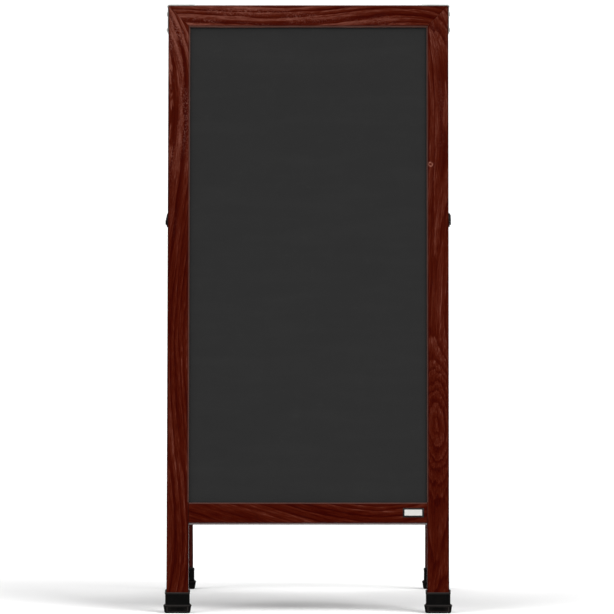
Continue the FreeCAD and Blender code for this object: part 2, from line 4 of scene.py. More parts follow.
import bmesh
import bpy
import numpy as np
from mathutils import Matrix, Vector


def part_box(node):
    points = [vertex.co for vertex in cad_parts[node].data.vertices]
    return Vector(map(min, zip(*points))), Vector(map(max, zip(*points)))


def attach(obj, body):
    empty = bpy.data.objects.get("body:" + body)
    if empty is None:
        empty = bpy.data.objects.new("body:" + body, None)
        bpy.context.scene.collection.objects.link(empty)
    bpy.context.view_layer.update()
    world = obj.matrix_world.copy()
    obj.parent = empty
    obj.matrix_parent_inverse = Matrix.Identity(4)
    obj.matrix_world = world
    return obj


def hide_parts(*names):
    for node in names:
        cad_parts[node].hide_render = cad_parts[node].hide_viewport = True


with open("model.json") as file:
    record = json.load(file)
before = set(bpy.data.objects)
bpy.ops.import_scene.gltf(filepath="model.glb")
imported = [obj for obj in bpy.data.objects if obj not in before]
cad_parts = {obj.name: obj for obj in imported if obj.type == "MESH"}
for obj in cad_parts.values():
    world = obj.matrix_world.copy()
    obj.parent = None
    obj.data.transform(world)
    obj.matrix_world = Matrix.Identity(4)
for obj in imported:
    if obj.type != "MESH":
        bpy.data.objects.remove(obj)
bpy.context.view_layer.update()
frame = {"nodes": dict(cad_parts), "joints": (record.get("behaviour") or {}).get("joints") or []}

# ---- Timber ----
# Each frame is four lengths of open-grained hardwood, planed to 38 by 19 mm, stained dark cherry and
# lacquered satin. The top corners are mitred, the lower rail butts between the stiles, and the board
# sits in a groove behind a small chamfer. Every other long edge is sanded round.

fold = next(joint for joint in frame["joints"] if joint["name"] == "fold")
LEAN = math.radians(sum(fold["range_deg"]) / 2)
PIN = np.array(fold["pos_m"])
LEANING = np.array([[1, 0, 0],
                    [0, math.cos(LEAN), math.sin(LEAN)],
                    [0, -math.sin(LEAN), math.cos(LEAN)]])
SWING = {"front": LEANING, "rear": np.diag([-1, -1, 1]) @ LEANING}
SIDES = ("left", "right")

ARRIS = 0.0011
CORNER = 0.0028
OPENING_CHAMFER = 0.0026
CHAMFER_EASE = 0.0003
GROOVE_ROOM = 0.0001
EDGE_ROOM = 0.001
JOINT_ARRIS = 0.0003
FACE_GUARD = 0.0009
STATION_STEP = 0.02
MITRE_FADE = 0.2
GRAIN_SHIFT = 0.05
SHARP = 38

# How each member was cut from its tree. The heart of the tree runs past it through five places, spread
# evenly from its start to its end: how far across from the outer edge, and how far behind the face.
# Coarse is how wide the year rings are, against the usual. A swirl is where a knot lay just behind
# the face: its share of the length, its half length as a share, and how far it lifts the rings.
CUTS = {
    "front_left_stile": ([-40, 2, -34, -24, -30], [20, 24, 22, 26, 24], 1.1, None),
    "front_right_stile": ([34, 6, 26, 20, 32], [50, 41, 47, 42, 54], 0.62, (0.696, 0.08, 29.5)),
    "front_top_rail": ([60, 66, 64, 50, 64], [20, 17, 20, 22, 18], 1.15, None),
    "front_lower_rail": ([40, 10, -20, -40, -30], [26, 24, 26, 30, 30], 1.2, None),
    "rear_left_stile": ([18, 22, 14, 20, 16], [44, 34, 40, 32, 36], 0.8, (0.32, 0.07, 9)),
    "rear_right_stile": ([70, 62, 66, 72, 60], [24, 22, 26, 24, 22], 0.9, None),
    "rear_top_rail": ([12, 24, 18, 26, 20], [36, 30, 27, 31, 38], 0.8, None),
    "rear_lower_rail": ([60, 52, 66, 58, 70], [22, 26, 22, 26, 24], 1.0, None),
}


def swung(points, frame_name):
    """Points of a frame drawn hanging straight down from its pin, put where the frame stands."""
    return points @ SWING[frame_name].T + PIN


def hanging(points, frame_name):
    """The way back: row points as they lie when their frame hangs straight down from its pin."""
    return (points - PIN) @ SWING[frame_name]


def vertices_of(node):
    """A CAD node's vertices as an array."""
    mesh = frame["nodes"][node].data
    places = np.empty(len(mesh.vertices) * 3, np.float32)
    mesh.vertices.foreach_get("co", places)
    return places.reshape(-1, 3).astype(float)


def hung_box(node, frame_name):
    """A CAD node's lowest and highest corners, square to its own frame."""
    places = hanging(vertices_of(node), frame_name)
    return places.min(0), places.max(0)


def stacked(rings):
    """Faces over a stack of closed rings: quads between neighbours and one face over each end."""
    count, around = rings.shape[:2]
    index = np.arange(count * around).reshape(count, around)
    low, high = index[:-1], index[1:]
    quads = np.stack([low, np.roll(low, -1, 1), np.roll(high, -1, 1), high], -1).reshape(-1, 4)
    return quads.tolist() + [index[0].tolist(), index[-1].tolist()]


def all_of(stacks):
    """Several stacks of rings as one set of points and faces."""
    points = np.concatenate([stack.reshape(-1, 3) for stack in stacks])
    faces, start = [], 0
    for stack in stacks:
        faces += [[start + corner for corner in face] for face in stacked(stack)]
        start += stack.shape[0] * stack.shape[1]
    return points, faces


def placed(name, data):
    """A mesh, a lamp or a camera put in the scene as an object."""
    made = bpy.data.objects.new(name, data)
    bpy.context.scene.collection.objects.link(made)
    return made


def merged(mesh):
    """A mesh opened for work, with its doubles merged."""
    shape = bmesh.new()
    shape.from_mesh(mesh)
    bmesh.ops.remove_doubles(shape, verts=shape.verts, dist=1e-6)
    return shape


def smooth_object(name, mesh, shape, sharp):
    """A worked shape back in its mesh, as an object smooth except where it turns by more than sharp."""
    shape.to_mesh(mesh)
    shape.free()
    mesh.shade_smooth()
    mesh.set_sharp_from_angle(angle=math.radians(sharp))
    return placed(name, mesh)


def even_shading(piece):
    """Weighs a piece's normals by the size of its faces, so that flats stay flat beside arrises."""
    weighted = piece.modifiers.new("even shading", "WEIGHTED_NORMAL")
    weighted.keep_sharp = True


def piece_from(name, points, faces, values=None, sharp=SHARP):
    """A mesh object with its doubles merged and its faces outward.

    values holds point attributes: numbers or vectors, one to each point."""
    mesh = bpy.data.meshes.new(name)
    mesh.from_pydata(points.tolist(), [], faces)
    for key, numbers in (values or {}).items():
        kind, field = ("FLOAT_VECTOR", "vector") if numbers.ndim > 1 else ("FLOAT", "value")
        attribute = mesh.attributes.new(key, kind, "POINT")
        attribute.data.foreach_set(field, numbers.astype(np.float32).ravel())
    shape = merged(mesh)
    bmesh.ops.recalc_face_normals(shape, faces=shape.faces)
    made = smooth_object(name, mesh, shape, sharp)
    even_shading(made)
    return made


def stand_in(piece, node, body, material):
    """Lets a finished piece stand for its CAD node, on its body and in its finish."""
    piece.data.materials.append(material)
    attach(piece, body)
    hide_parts(node)


def frame_piece(name, node, frame_name, material, stacks, values=None, sharp=SHARP):
    """Stacks of rings drawn in the hanging frame, as a piece that stands for one of its nodes."""
    points, faces = all_of(stacks)
    piece = piece_from(name, swung(points, frame_name), faces, values, sharp)
    stand_in(piece, node, f"{frame_name}_frame", material)


def round_corner(radius, count=6):
    """A quarter circle, as distances back from a sharp corner along its first and second face."""
    turn = np.linspace(0, math.pi / 2, count)
    return np.stack([radius * (1 - np.sin(turn)), radius * (1 - np.cos(turn))], -1)


def chamfered_corner(size, ease):
    """A straight chamfer whose two edges are eased, as distances back from the sharp corner."""
    first = np.array([size + ease, size - ease / 2, size * 2 / 3])
    second = np.array([0, ease / 2, size / 3])
    return np.stack([np.r_[first, second[::-1]], np.r_[second, first[::-1]]], -1)


def guarded(corner):
    """A corner's distances with one more point on each face beside it, so its tone stays local."""
    return np.concatenate([[(corner[0, 0] + FACE_GUARD, 0)], corner, [(0, corner[-1, 1] + FACE_GUARD)]])


def timber_section(width, thickness, groove, chamfered, grooved):
    """A member's outline, across it and into its depth, with its painted sheen and shade at each point.

    It starts at the outer edge, crosses the face, goes in and out of the groove and returns along the
    back. Sheen and shade is 1 on the chamfer, lightened as a painted sheen, -1 on an arris, darkened
    as painted shade where the stain also pools, and 0 on the flats."""
    arris = guarded(round_corner(ARRIS))
    opening = guarded(chamfered_corner(OPENING_CHAMFER, CHAMFER_EASE)) if chamfered else arris
    near, far, deep = groove
    deep = deep if grooved else 0
    notch = [(width, near), (width - deep, near), (width - deep, far), (width, far)]
    outline = np.concatenate([
        np.stack([arris[:, 1], arris[:, 0]], -1),
        np.stack([width - opening[:, 0], opening[:, 1]], -1),
        np.array(notch),
        np.stack([width - arris[:, 1], thickness - arris[:, 0]], -1),
        np.stack([arris[:, 0], thickness - arris[:, 1]], -1)])
    # Painted shade on the arrises; on a chamfered corner, painted shade on the face's arris and a painted
    # sheen on the chamfer.
    dark = np.array([0, -0.7, -1, -1, -1, -1, -0.7, 0])
    chamfer = np.array([0, -1, -0.6, 1, 1, 1, 0, 0]) if chamfered else dark
    return outline, np.concatenate([dark, chamfer, np.zeros(4), dark, dark])


def between(first, last):
    """Plain stations between two, evenly spread; the slope of a mitre fades out over the first part
    and in again over the last."""
    count = max(int((last[0] - first[0]) / STATION_STEP), 2)
    share = np.linspace(0, 1, count)[1:-1]
    slope = (first[1] * np.clip(1 - share / MITRE_FADE, 0, 1)
             + last[1] * np.clip(1 - (1 - share) / MITRE_FADE, 0, 1))
    return [(first[0] + s * (last[0] - first[0]), bend, 0, first[3], first[4])
            for s, bend in zip(share, slope)]


def corner_stations(slope):
    """Stations close behind a mitre, so that the worn corner has enough points to curve."""
    return [(CORNER * share, slope, 0, True, True) for share in (0.25, 0.5, 0.75, 1, 1.4)]


def rounded_off(along, across, mitred):
    """Lengths with the sharp outer corner of a mitred end worn to a quarter circle, and the across
    places that go with them. Points outside the circle move straight in to it."""
    reach, drop = CORNER - across, CORNER - along
    radius = CORNER - np.clip(across, 0, CORNER)
    far = np.hypot(reach, drop)
    out = mitred & (reach > 0) & (drop > 0) & (far > radius)
    scale = np.where(out, radius / np.maximum(far, 1e-9), 1)
    return CORNER - drop * scale, CORNER - reach * scale


def member(name, width, thickness, groove, stations):
    """A member's rings as (across, depth, along) points, with their grain and their painted sheen and
    shade values.

    Each station gives how far along it lies, how much of a mitre it has (the slope of along over
    across), how far its outline is drawn in, and whether it is chamfered and grooved there. Grain
    is the place measured from the heart of the tree, with a polynomial through its five places."""
    rings, sheens_and_shades = [], []
    for along, slope, inset, chamfered, grooved in stations:
        outline, sheen_and_shade = timber_section(width, thickness, groove, chamfered, grooved)
        across = np.clip(outline[:, 0], inset, width - inset)
        depth = np.clip(outline[:, 1], inset, thickness - inset)
        rings.append(np.stack([across, depth, along + slope * across], -1))
        sheens_and_shades.append(sheen_and_shade)
    rings = np.array(rings)
    length = rings[..., 2].max()
    for end in range(2):
        distance = rings[..., 2] if end == 0 else length - rings[..., 2]
        distance, across = rounded_off(distance, rings[..., 0], bool(stations[-end][1]))
        rings[..., 0] = across
        rings[..., 2] = distance if end == 0 else length - distance
    share = rings[..., 2] / length
    heart_across, heart_depth, coarse, swirl = CUTS[name]
    places = np.linspace(0, 1, len(heart_across))
    heart = [np.polyval(np.polyfit(places, np.array(line) / 1000, len(line) - 1), share)
             for line in (heart_across, heart_depth)]
    if swirl:
        middle, half_length, lift = swirl
        heart[1] = heart[1] - lift / 1000 * np.exp(-((share - middle) / half_length) ** 2)
    grain = np.stack([(rings[..., 0] - heart[0]) / coarse, (rings[..., 1] - heart[1]) / coarse,
                      rings[..., 2] + sum(heart_across) * GRAIN_SHIFT], -1)
    return rings, {"grain": grain.reshape(-1, 3), "sheen_and_shade": np.concatenate(sheens_and_shades)}


def groove_of(frame_name, face):
    """The board's groove, seen from the face: its near wall, its far wall and its depth."""
    front_low = hung_box(f"{frame_name}_writing_surface", frame_name)[0]
    back_high = hung_box(f"{frame_name}_board_backing", frame_name)[1]
    rail_high = hung_box(f"{frame_name}_lower_rail", frame_name)[1]
    return (front_low[1] - face - GROOVE_ROOM, back_high[1] - face + GROOVE_ROOM,
            rail_high[2] - front_low[2] + EDGE_ROOM)


def make_stile(node, frame_name, material):
    """A stile: mitred at the top, chamfered and grooved down to the lower rail, plain below it."""
    low, high = hung_box(node, frame_name)
    rail_high = hung_box(f"{frame_name}_lower_rail", frame_name)[1]
    top_low, top_high = hung_box(f"{frame_name}_top_rail", frame_name)
    width, thickness, length = high - low
    groove = groove_of(frame_name, low[1])
    mitre = (top_high[2] - top_low[2]) / width
    opening_end = high[2] - rail_high[2]
    groove_end = opening_end + groove[2]
    first, last = (JOINT_ARRIS, mitre, 0, True, True), (opening_end, 0, 0, True, True)
    below, foot = (groove_end, 0, 0, False, False), (length - JOINT_ARRIS, 0, 0, False, False)
    rings, values = member(node, width, thickness, groove, [
        (0, mitre, JOINT_ARRIS, True, True), first, *corner_stations(mitre), *between(first, last),
        last, (opening_end, 0, 0, False, True), (groove_end, 0, 0, False, True),
        below, *between(below, foot), foot, (length, 0, JOINT_ARRIS, False, False)])
    across, depth, along = np.moveaxis(rings, -1, 0)
    side = high[0] - across if low[0] > 0 else low[0] + across
    places = np.stack([side, low[1] + depth, high[2] - along], -1)
    frame_piece(f"{node}_timber", node, frame_name, material, [places], values)


def make_rail(node, frame_name, material, mitred):
    """A rail: grooved and chamfered along its opening edge, with mitred or square ends."""
    low, high = hung_box(node, frame_name)
    stile_low, stile_high = hung_box(f"{frame_name}_left_stile", frame_name)
    length, thickness, width = high - low
    groove = groove_of(frame_name, low[1])
    slope = (stile_high[0] - stile_low[0]) / width if mitred else 0
    first, last = (JOINT_ARRIS, slope, 0, True, True), (length - JOINT_ARRIS, -slope, 0, True, True)
    behind = corner_stations(slope) if mitred else []
    ahead = [(length - along, -bend, *rest) for along, bend, *rest in behind[::-1]]
    rings, values = member(node, width, thickness, groove, [
        (0, slope, JOINT_ARRIS, True, True), first, *behind, *between(first, last),
        *ahead, last, (length, -slope, JOINT_ARRIS, True, True)])
    across, depth, along = np.moveaxis(rings, -1, 0)
    height = high[2] - across if mitred else low[2] + across
    places = np.stack([low[0] + along, low[1] + depth, height], -1)
    frame_piece(f"{node}_timber", node, frame_name, material, [places], values)


def feed(tree, sockets, given):
    """Gives sockets, by name or number, a constant or another node's output each."""
    for key, value in dict(given).items():
        if isinstance(value, bpy.types.NodeSocket):
            tree.links.new(value, sockets[key])
        else:
            sockets[key].default_value = value


def add(tree, kind, inputs=(), **settings):
    """One shader node, with its settings made and its inputs fed."""
    made = tree.nodes.new(f"ShaderNode{kind}")
    for name, value in settings.items():
        setattr(made, name, value)
    feed(tree, made.inputs, inputs)
    return made


def calc(tree, operation, *values):
    """The output of a Math node."""
    return add(tree, "Math", enumerate(values), operation=operation).outputs[0]


def times(tree, first, second):
    """Two values multiplied."""
    return calc(tree, "MULTIPLY", first, second)


def plus(tree, base, value, factor):
    """A base, plus a value times a factor."""
    return calc(tree, "MULTIPLY_ADD", value, factor, base)


def noise(tree, place, scale, detail=2.0, rough=0.5, lean=0.0, shift=(0, 0, 0)):
    """A noise from 0 to 1 over a place times a scale on each axis, plus a shift."""
    vector = add(tree, "VectorMath", {0: place, 1: scale, 2: shift}, operation="MULTIPLY_ADD")
    return add(tree, "TexNoise", {"Vector": vector.outputs[0], "Scale": 1.0, "Detail": detail,
                                  "Roughness": rough, "Distortion": lean}).outputs["Fac"]


def off_middle(tree, value):
    """A noise measured from its middle value."""
    return calc(tree, "SUBTRACT", value, 0.5)


def ramp(tree, value, stops):
    """A colour ramp: stops are places with a grey or a colour each."""
    made = add(tree, "ValToRGB", {0: value})
    while len(made.color_ramp.elements) < len(stops):
        made.color_ramp.elements.new(0.5)
    for element, (place, tone) in zip(made.color_ramp.elements, stops):
        element.position = place
        element.color = (*tone, 1) if isinstance(tone, tuple) else (tone, tone, tone, 1)
    return made.outputs[0]


def mixed(tree, share, first, second):
    """Two colours mixed by a share; each is a tint or another node's output."""
    first, second = (tint if isinstance(tint, bpy.types.NodeSocket) else (*tint, 1)
                     for tint in (first, second))
    return add(tree, "Mix", {0: share, 6: first, 7: second}, data_type="RGBA").outputs[2]


def coated(tree, colour, *coats):
    """A colour under coats: each has a mask, how strongly it covers there, and a tint."""
    for mask, strength, tint in coats:
        colour = mixed(tree, times(tree, mask, strength), colour, tint)
    return colour


def spread(tree, value, low, high, out_low=0.0, out_high=1.0):
    """A value carried from one range to another, held at its ends."""
    return add(tree, "MapRange", {0: value, 1: low, 2: high, 3: out_low, 4: out_high}).outputs[0]


def new_group(name, inputs, outputs):
    """An empty shader group; inputs maps socket names to their kinds, and outputs are all numbers."""
    tree = bpy.data.node_groups.new(name, "ShaderNodeTree")
    for key, kind in inputs.items():
        tree.interface.new_socket(name=key, in_out="INPUT", socket_type=f"NodeSocket{kind}")
    for key in outputs:
        tree.interface.new_socket(name=key, in_out="OUTPUT", socket_type="NodeSocketFloat")
    return tree, tree.nodes.new("NodeGroupInput").outputs, tree.nodes.new("NodeGroupOutput").inputs


def make_timber_grain():
    """Rings, streaks, fibres and pores of wood, from a place measured off the heart of the tree.

    Rings: the distance from the heart line, made wavy by slow noise, divided by the ring width; its
    fraction falls from the dark porous spring wood to the plain summer wood. Streaks follow the
    grain for a hand's length, fibres for a finger's, and pores are short dashes."""
    tree, given, result = new_group(
        "timber_grain", {"Grain": "Vector", "Ring Width": "Float", "Wave": "Float"},
        ("Rings", "Streaks", "Fibres", "Pores"))
    place = given["Grain"]
    slow = off_middle(tree, noise(tree, place, (26, 26, 2.6)))
    quick = off_middle(tree, noise(tree, place, (95, 95, 13), 3.0, 0.6))
    torn = off_middle(tree, noise(tree, place, (340, 340, 60), 2.0, 0.6))
    wave = times(tree, given["Wave"], plus(tree, slow, plus(tree, quick, torn, 0.3), 0.42))
    flat = add(tree, "VectorMath", {0: place, 1: (1, 1, 0)}, operation="MULTIPLY").outputs[0]
    radius = add(tree, "VectorMath", {0: flat}, operation="LENGTH").outputs["Value"]
    turns = calc(tree, "DIVIDE", calc(tree, "ADD", radius, wave), given["Ring Width"])
    uneven = noise(tree, add(tree, "CombineXYZ", {0: turns}).outputs[0], (0.45, 0, 0), 1.0)
    year = calc(tree, "FRACT", plus(tree, turns, uneven, 1.4))
    dots = noise(tree, place, (720, 720, 88))
    feed(tree, result, {
        "Rings": ramp(tree, year, [(0.0, 1.0), (0.15, 0.92), (0.32, 0.42), (0.58, 0.12),
                                   (0.92, 0.0), (1.0, 1.0)]),
        "Streaks": noise(tree, place, (240, 240, 5.5), 3.0, 0.55),
        "Fibres": noise(tree, place, (600, 600, 42), 4.0, 0.72),
        "Pores": spread(tree, dots, 0.56, 0.70)})
    return tree


timber_grain = make_timber_grain()

# The palest stain is partly a painted sheen on the light streaks, and the speck tone is for painted
# highlight specks.
STAIN_DEEP = (0.0250, 0.0006, 0.0001)
STAIN_DARK = (0.0360, 0.0019, 0.0003)
STAIN_MID = (0.0500, 0.0048, 0.0014)
STAIN_LIGHT = (0.0710, 0.0115, 0.0055)
STAIN_PALE_SHEEN = (0.1350, 0.0400, 0.0270)
# The chamfer tone is a painted sheen; the pooled tone is painted shade on the arrises, where the stain
# also pools.
STAIN_CHAMFER_SHEEN = (0.0850, 0.0440, 0.0360)
STAIN_POOLED_SHADE = (0.0150, 0.0012, 0.0008)
STAIN_SHEEN_SPECK = (0.2000, 0.0750, 0.0560)
STAIN_SCUFF = (0.2700, 0.1000, 0.0700)

# A little ring-shaped scuff on the front right stile, this far in from its opening and below the pin.
SCUFF_IN = 0.0066
SCUFF_DOWN = 0.2850
SCUFF_RADIUS = 0.0034
SCUFF_LINE = 0.0020


def new_material(name):
    """A material with its Principled shader; gives the material, its tree and the shader's inputs."""
    made = bpy.data.materials.new(name)
    made.use_nodes = True
    tree = made.node_tree
    shader = next(n for n in tree.nodes if n.type == "BSDF_PRINCIPLED")
    return made, tree, shader.inputs


def bumped(tree, height, distance, strength=1.0):
    """A normal from a height that is 1 at its top and distance metres tall."""
    return add(tree, "Bump", {"Height": height, "Distance": distance,
                              "Strength": strength}).outputs[0]


def scuff_mark(tree, place, spot):
    """A broken ring round a spot: 1 where the distance to it, made uneven, is the ring's radius."""
    away = add(tree, "VectorMath", {0: place, 1: spot}, operation="SUBTRACT").outputs[0]
    distance = add(tree, "VectorMath", {0: away}, operation="LENGTH").outputs["Value"]
    uneven = noise(tree, place, (700, 700, 700))
    distance = plus(tree, distance, uneven, SCUFF_LINE)
    off_ring = calc(tree, "ABSOLUTE", calc(tree, "SUBTRACT", distance, SCUFF_RADIUS + SCUFF_LINE / 2))
    return times(tree, spread(tree, off_ring, 0.0, SCUFF_LINE, 1.0, 0.0),
                 spread(tree, uneven, 0.38, 0.55))


def make_stained_hardwood():
    """Dark cherry stain sinks into the spring wood and pores, and leaves the summer wood lighter.

    A painted sheen lightens the upper ends, most towards -X, in specks as well as all over; painted shade
    darkens the arrises and the lower parts, and a painted sheen lightens the chamfers."""
    made, tree, shader = new_material("stained_hardwood")
    place = add(tree, "Attribute", attribute_name="grain").outputs["Vector"]
    sheen_and_shade = add(tree, "Attribute", attribute_name="sheen_and_shade").outputs["Fac"]
    standing = add(tree, "TexCoord").outputs["Object"]
    spot = add(tree, "SeparateXYZ", {0: standing}).outputs
    grain = add(tree, "Group", {"Grain": place, "Ring Width": 0.0078, "Wave": 0.015},
                node_tree=timber_grain).outputs
    rings, fibres = grain["Rings"], grain["Fibres"]
    # Painted sheen: the upper ends are lightened, most towards -X, and their rings show more contrast, as
    # where light falls on them.
    upper_sheen = times(tree, spread(tree, spot["Z"], 0.62, 1.0),
                    spread(tree, spot["X"], -0.25, 0.25, 1.0, 0.35))
    torn = times(tree, rings, spread(tree, fibres, 0.3, 0.62, 0.45, 1.0))
    tone = plus(tree, 0.60, torn, plus(tree, -0.48, upper_sheen, -0.42))
    broad = noise(tree, place, (34, 34, 2.4))
    for figure, weight in ((grain["Streaks"], 0.95), (fibres, 1.7), (broad, 0.65)):
        tone = plus(tree, tone, off_middle(tree, figure), weight)
    tone = plus(tree, tone, upper_sheen, 0.34)
    # Painted shade: the wood is darkened towards the bottom.
    tone = calc(tree, "ADD", tone, spread(tree, spot["Z"], 0.0, 0.5, -0.10, -0.01))
    stain = ramp(tree, tone, [(0.0, STAIN_DEEP), (0.22, STAIN_DARK), (0.5, STAIN_MID),
                              (0.74, STAIN_LIGHT), (1.0, STAIN_PALE_SHEEN)])
    porous = times(tree, grain["Pores"], plus(tree, 0.35, rings, 0.6))
    # Painted highlight specks, in patches over the upper ends.
    sheen_specks = spread(tree, noise(tree, place, (560, 560, 380), 2.0, 0.7), 0.50, 0.66)
    patches = spread(tree, noise(tree, place, (70, 70, 11), shift=(2, 5, 3)), 0.46, 0.62)
    sheen_specks = times(tree, sheen_specks, times(tree, patches, upper_sheen))
    stain = coated(tree, stain, (porous, 0.75, STAIN_DEEP), (sheen_specks, 0.75, STAIN_SHEEN_SPECK))
    stile_low = hung_box("front_right_stile", "front")[0]
    scuff = swung(np.array([stile_low[0] + SCUFF_IN, stile_low[1], -SCUFF_DOWN]), "front")
    stain = mixed(tree, scuff_mark(tree, standing, scuff), stain, STAIN_SCUFF)
    # Painted sheen: the chamfers are lightened.
    chamfer = times(tree, calc(tree, "MAXIMUM", sheen_and_shade, 0.0),
                    spread(tree, fibres, 0.3, 0.7, 0.55, 0.95))
    stain = mixed(tree, chamfer, stain, STAIN_CHAMFER_SHEEN)
    # Painted shade: the arrises are darkened, where the stain also pools, and made rougher.
    pooled_stain_and_shade = calc(tree, "MAXIMUM", times(tree, sheen_and_shade, -1.0), 0.0)
    stain = coated(tree, stain, (pooled_stain_and_shade, 0.65, STAIN_POOLED_SHADE))
    gloss = plus(tree, plus(tree, plus(tree, 0.24, fibres, 0.14), porous, 0.2), pooled_stain_and_shade, 0.4)
    relief = calc(tree, "SUBTRACT", times(tree, fibres, 0.35), plus(tree, porous, rings, 0.35))
    feed(tree, shader, {"Base Color": stain, "Roughness": gloss,
                        "Normal": bumped(tree, relief, 0.00012, 0.5),
                        "Specular IOR Level": 0.10, "Specular Tint": (1.0, 0.5, 0.4, 1.0),
                        "Coat Weight": 0.05, "Coat Roughness": 0.15})
    return made


stained_hardwood = make_stained_hardwood()
for frame_name in SWING:
    for side in SIDES:
        make_stile(f"{frame_name}_{side}_stile", frame_name, stained_hardwood)
    make_rail(f"{frame_name}_top_rail", frame_name, stained_hardwood, mitred=True)
    make_rail(f"{frame_name}_lower_rail", frame_name, stained_hardwood, mitred=False)

# ---- Dowels ----
# Plain beech dowels, fluted and glued, pin the two mitres and both ends of each lower rail. They lie
# wholly inside the timber, so they keep the shape that the frame gives them.


def finish_node(node, material):
    """Gives a CAD node that is shown as it is a finish of its own."""
    shown = frame["nodes"][node]
    if not shown.data.materials:
        shown.data.materials.append(material)
    for place in shown.material_slots:
        place.material = material


def make_beech():
    """Pale straight-grained beech, with the grain along X and small dark flecks."""
    made, tree, shader = new_material("beech")
    along_x = add(tree, "Mapping", {"Vector": add(tree, "TexCoord").outputs["Object"],
                                    "Rotation": (0, math.pi / 2, 0),
                                    "Location": (0.03, 0.02, 0)}).outputs[0]
    grain = add(tree, "Group", {"Grain": along_x, "Ring Width": 0.0021, "Wave": 0.002},
                node_tree=timber_grain).outputs
    colour = ramp(tree, plus(tree, grain["Streaks"], grain["Rings"], 0.4),
                  [(0.2, (0.66, 0.47, 0.29)), (0.9, (0.46, 0.29, 0.16))])
    colour = coated(tree, colour, (grain["Pores"], 0.5, (0.25, 0.13, 0.06)))
    feed(tree, shader, {"Base Color": colour, "Roughness": plus(tree, 0.5, grain["Fibres"], 0.2),
                        "Normal": bumped(tree, grain["Fibres"], 0.00008)})
    return made


beech = make_beech()
for frame_name in SWING:
    for joint_kind in ("mitre", "rail"):
        finish_node(f"{frame_name}_{joint_kind}_dowels", beech)

# ---- Boards ----
# Each board is a sheet of matt charcoal writing laminate, bonded to a fibreboard core with a plain
# black balancing sheet behind. It slides into the grooves before the frame is glued up.


def make_surface_wear():
    """Mottling, fine scratches and settled dust that any finish can take, from a place in metres.

    Mottling is two sizes of soft noise. Scratches are thin lines where a stretched noise passes its
    middle value, in two directions, broken up by another noise. Dust is a blotchy cover."""
    tree, given, result = new_group("surface_wear", {"Place": "Vector", "Scale": "Float"},
                                    ("Mottle", "Scratches", "Dust", "Speckle"))
    place = add(tree, "VectorMath", {0: given["Place"], "Scale": given["Scale"]},
                operation="SCALE").outputs[0]
    large = noise(tree, place, (9, 9, 9), 3.0, 0.6)
    small = noise(tree, place, (70, 70, 70))
    lines = []
    for scale in ((210, 16, 210), (26, 240, 18)):
        band = calc(tree, "ABSOLUTE", off_middle(tree, noise(tree, place, scale, 1.0)))
        lines.append(spread(tree, band, 0.0, 0.012, 1.0, 0.0))
    broken = spread(tree, noise(tree, place, (38, 38, 38), 1.0, shift=(3, 1, 2)), 0.52, 0.64)
    blotches = noise(tree, place, (17, 17, 17), 5.0, 0.65, shift=(5, 9, 4))
    feed(tree, result, {"Mottle": plus(tree, times(tree, large, 0.6), small, 0.4),
                        "Scratches": times(tree, calc(tree, "MAXIMUM", *lines), broken),
                        "Dust": spread(tree, blotches, 0.45, 0.75),
                        "Speckle": noise(tree, place, (1300, 1300, 1300))})
    return tree


surface_wear = make_surface_wear()


def wear_over(tree, scale):
    """The wear group over a piece's own coordinates; gives the place and the group's outputs."""
    place = add(tree, "TexCoord").outputs["Object"]
    wear = add(tree, "Group", {"Place": place, "Scale": scale}, node_tree=surface_wear)
    return place, wear.outputs


CHARCOAL = (0.0165, 0.0165, 0.0165)
CHALK_HAZE = (0.040, 0.040, 0.039)


def make_writing_laminate():
    """Matt charcoal with a fine tooth, and the faintest cloudy arcs that a dry eraser leaves."""
    made, tree, shader = new_material("writing_laminate")
    place, wear = wear_over(tree, 1.0)
    sweep = noise(tree, place, (5, 5, 38), 4.0, 0.6, lean=0.6)
    haze = times(tree, spread(tree, sweep, 0.45, 0.85), 0.10)
    haze = plus(tree, haze, times(tree, wear["Dust"], wear["Speckle"]), 0.07)
    colour = coated(tree, mixed(tree, haze, CHARCOAL, CHALK_HAZE),
                    (wear["Scratches"], 0.12, CHALK_HAZE))
    feed(tree, shader, {"Base Color": colour, "Roughness": plus(tree, 0.72, wear["Mottle"], 0.14),
                        "Normal": bumped(tree, wear["Speckle"], 0.00005, 0.5),
                        "Specular IOR Level": 0.1})
    return made


def make_fibreboard():
    """Pressed wood fibre: brown, fuzzy, with short random fibres."""
    made, tree, shader = new_material("fibreboard")
    place, wear = wear_over(tree, 2.0)
    fibres = noise(tree, place, (900, 300, 900), 4.0, 0.7)
    colour = ramp(tree, fibres, [(0.25, (0.17, 0.095, 0.045)), (0.5, (0.32, 0.20, 0.11)),
                                 (0.8, (0.45, 0.31, 0.19))])
    feed(tree, shader, {"Base Color": coated(tree, colour, (wear["Mottle"], 0.3, (0.2, 0.12, 0.06))),
                        "Roughness": plus(tree, 0.8, fibres, 0.1),
                        "Normal": bumped(tree, fibres, 0.0002)})
    return made


def make_balancing_sheet():
    """Thin black laminate on the back of the board, with a fine pebbled press texture and scuffs."""
    made, tree, shader = new_material("balancing_sheet")
    place, wear = wear_over(tree, 1.4)
    pebbles = add(tree, "TexVoronoi", {"Vector": place, "Scale": 900.0, "Randomness": 1.0},
                  feature="SMOOTH_F1").outputs["Distance"]
    colour = mixed(tree, times(tree, wear["Mottle"], 0.5), (0.012, 0.012, 0.013),
                   (0.024, 0.023, 0.023))
    colour = coated(tree, colour, (wear["Scratches"], 0.35, (0.09, 0.088, 0.085)),
                    (wear["Dust"], 0.1, (0.14, 0.13, 0.12)))
    feed(tree, shader, {"Base Color": colour, "Roughness": plus(tree, 0.42, wear["Mottle"], 0.25),
                        "Normal": bumped(tree, pebbles, 0.00006, 0.6),
                        "Specular IOR Level": 0.35})
    return made


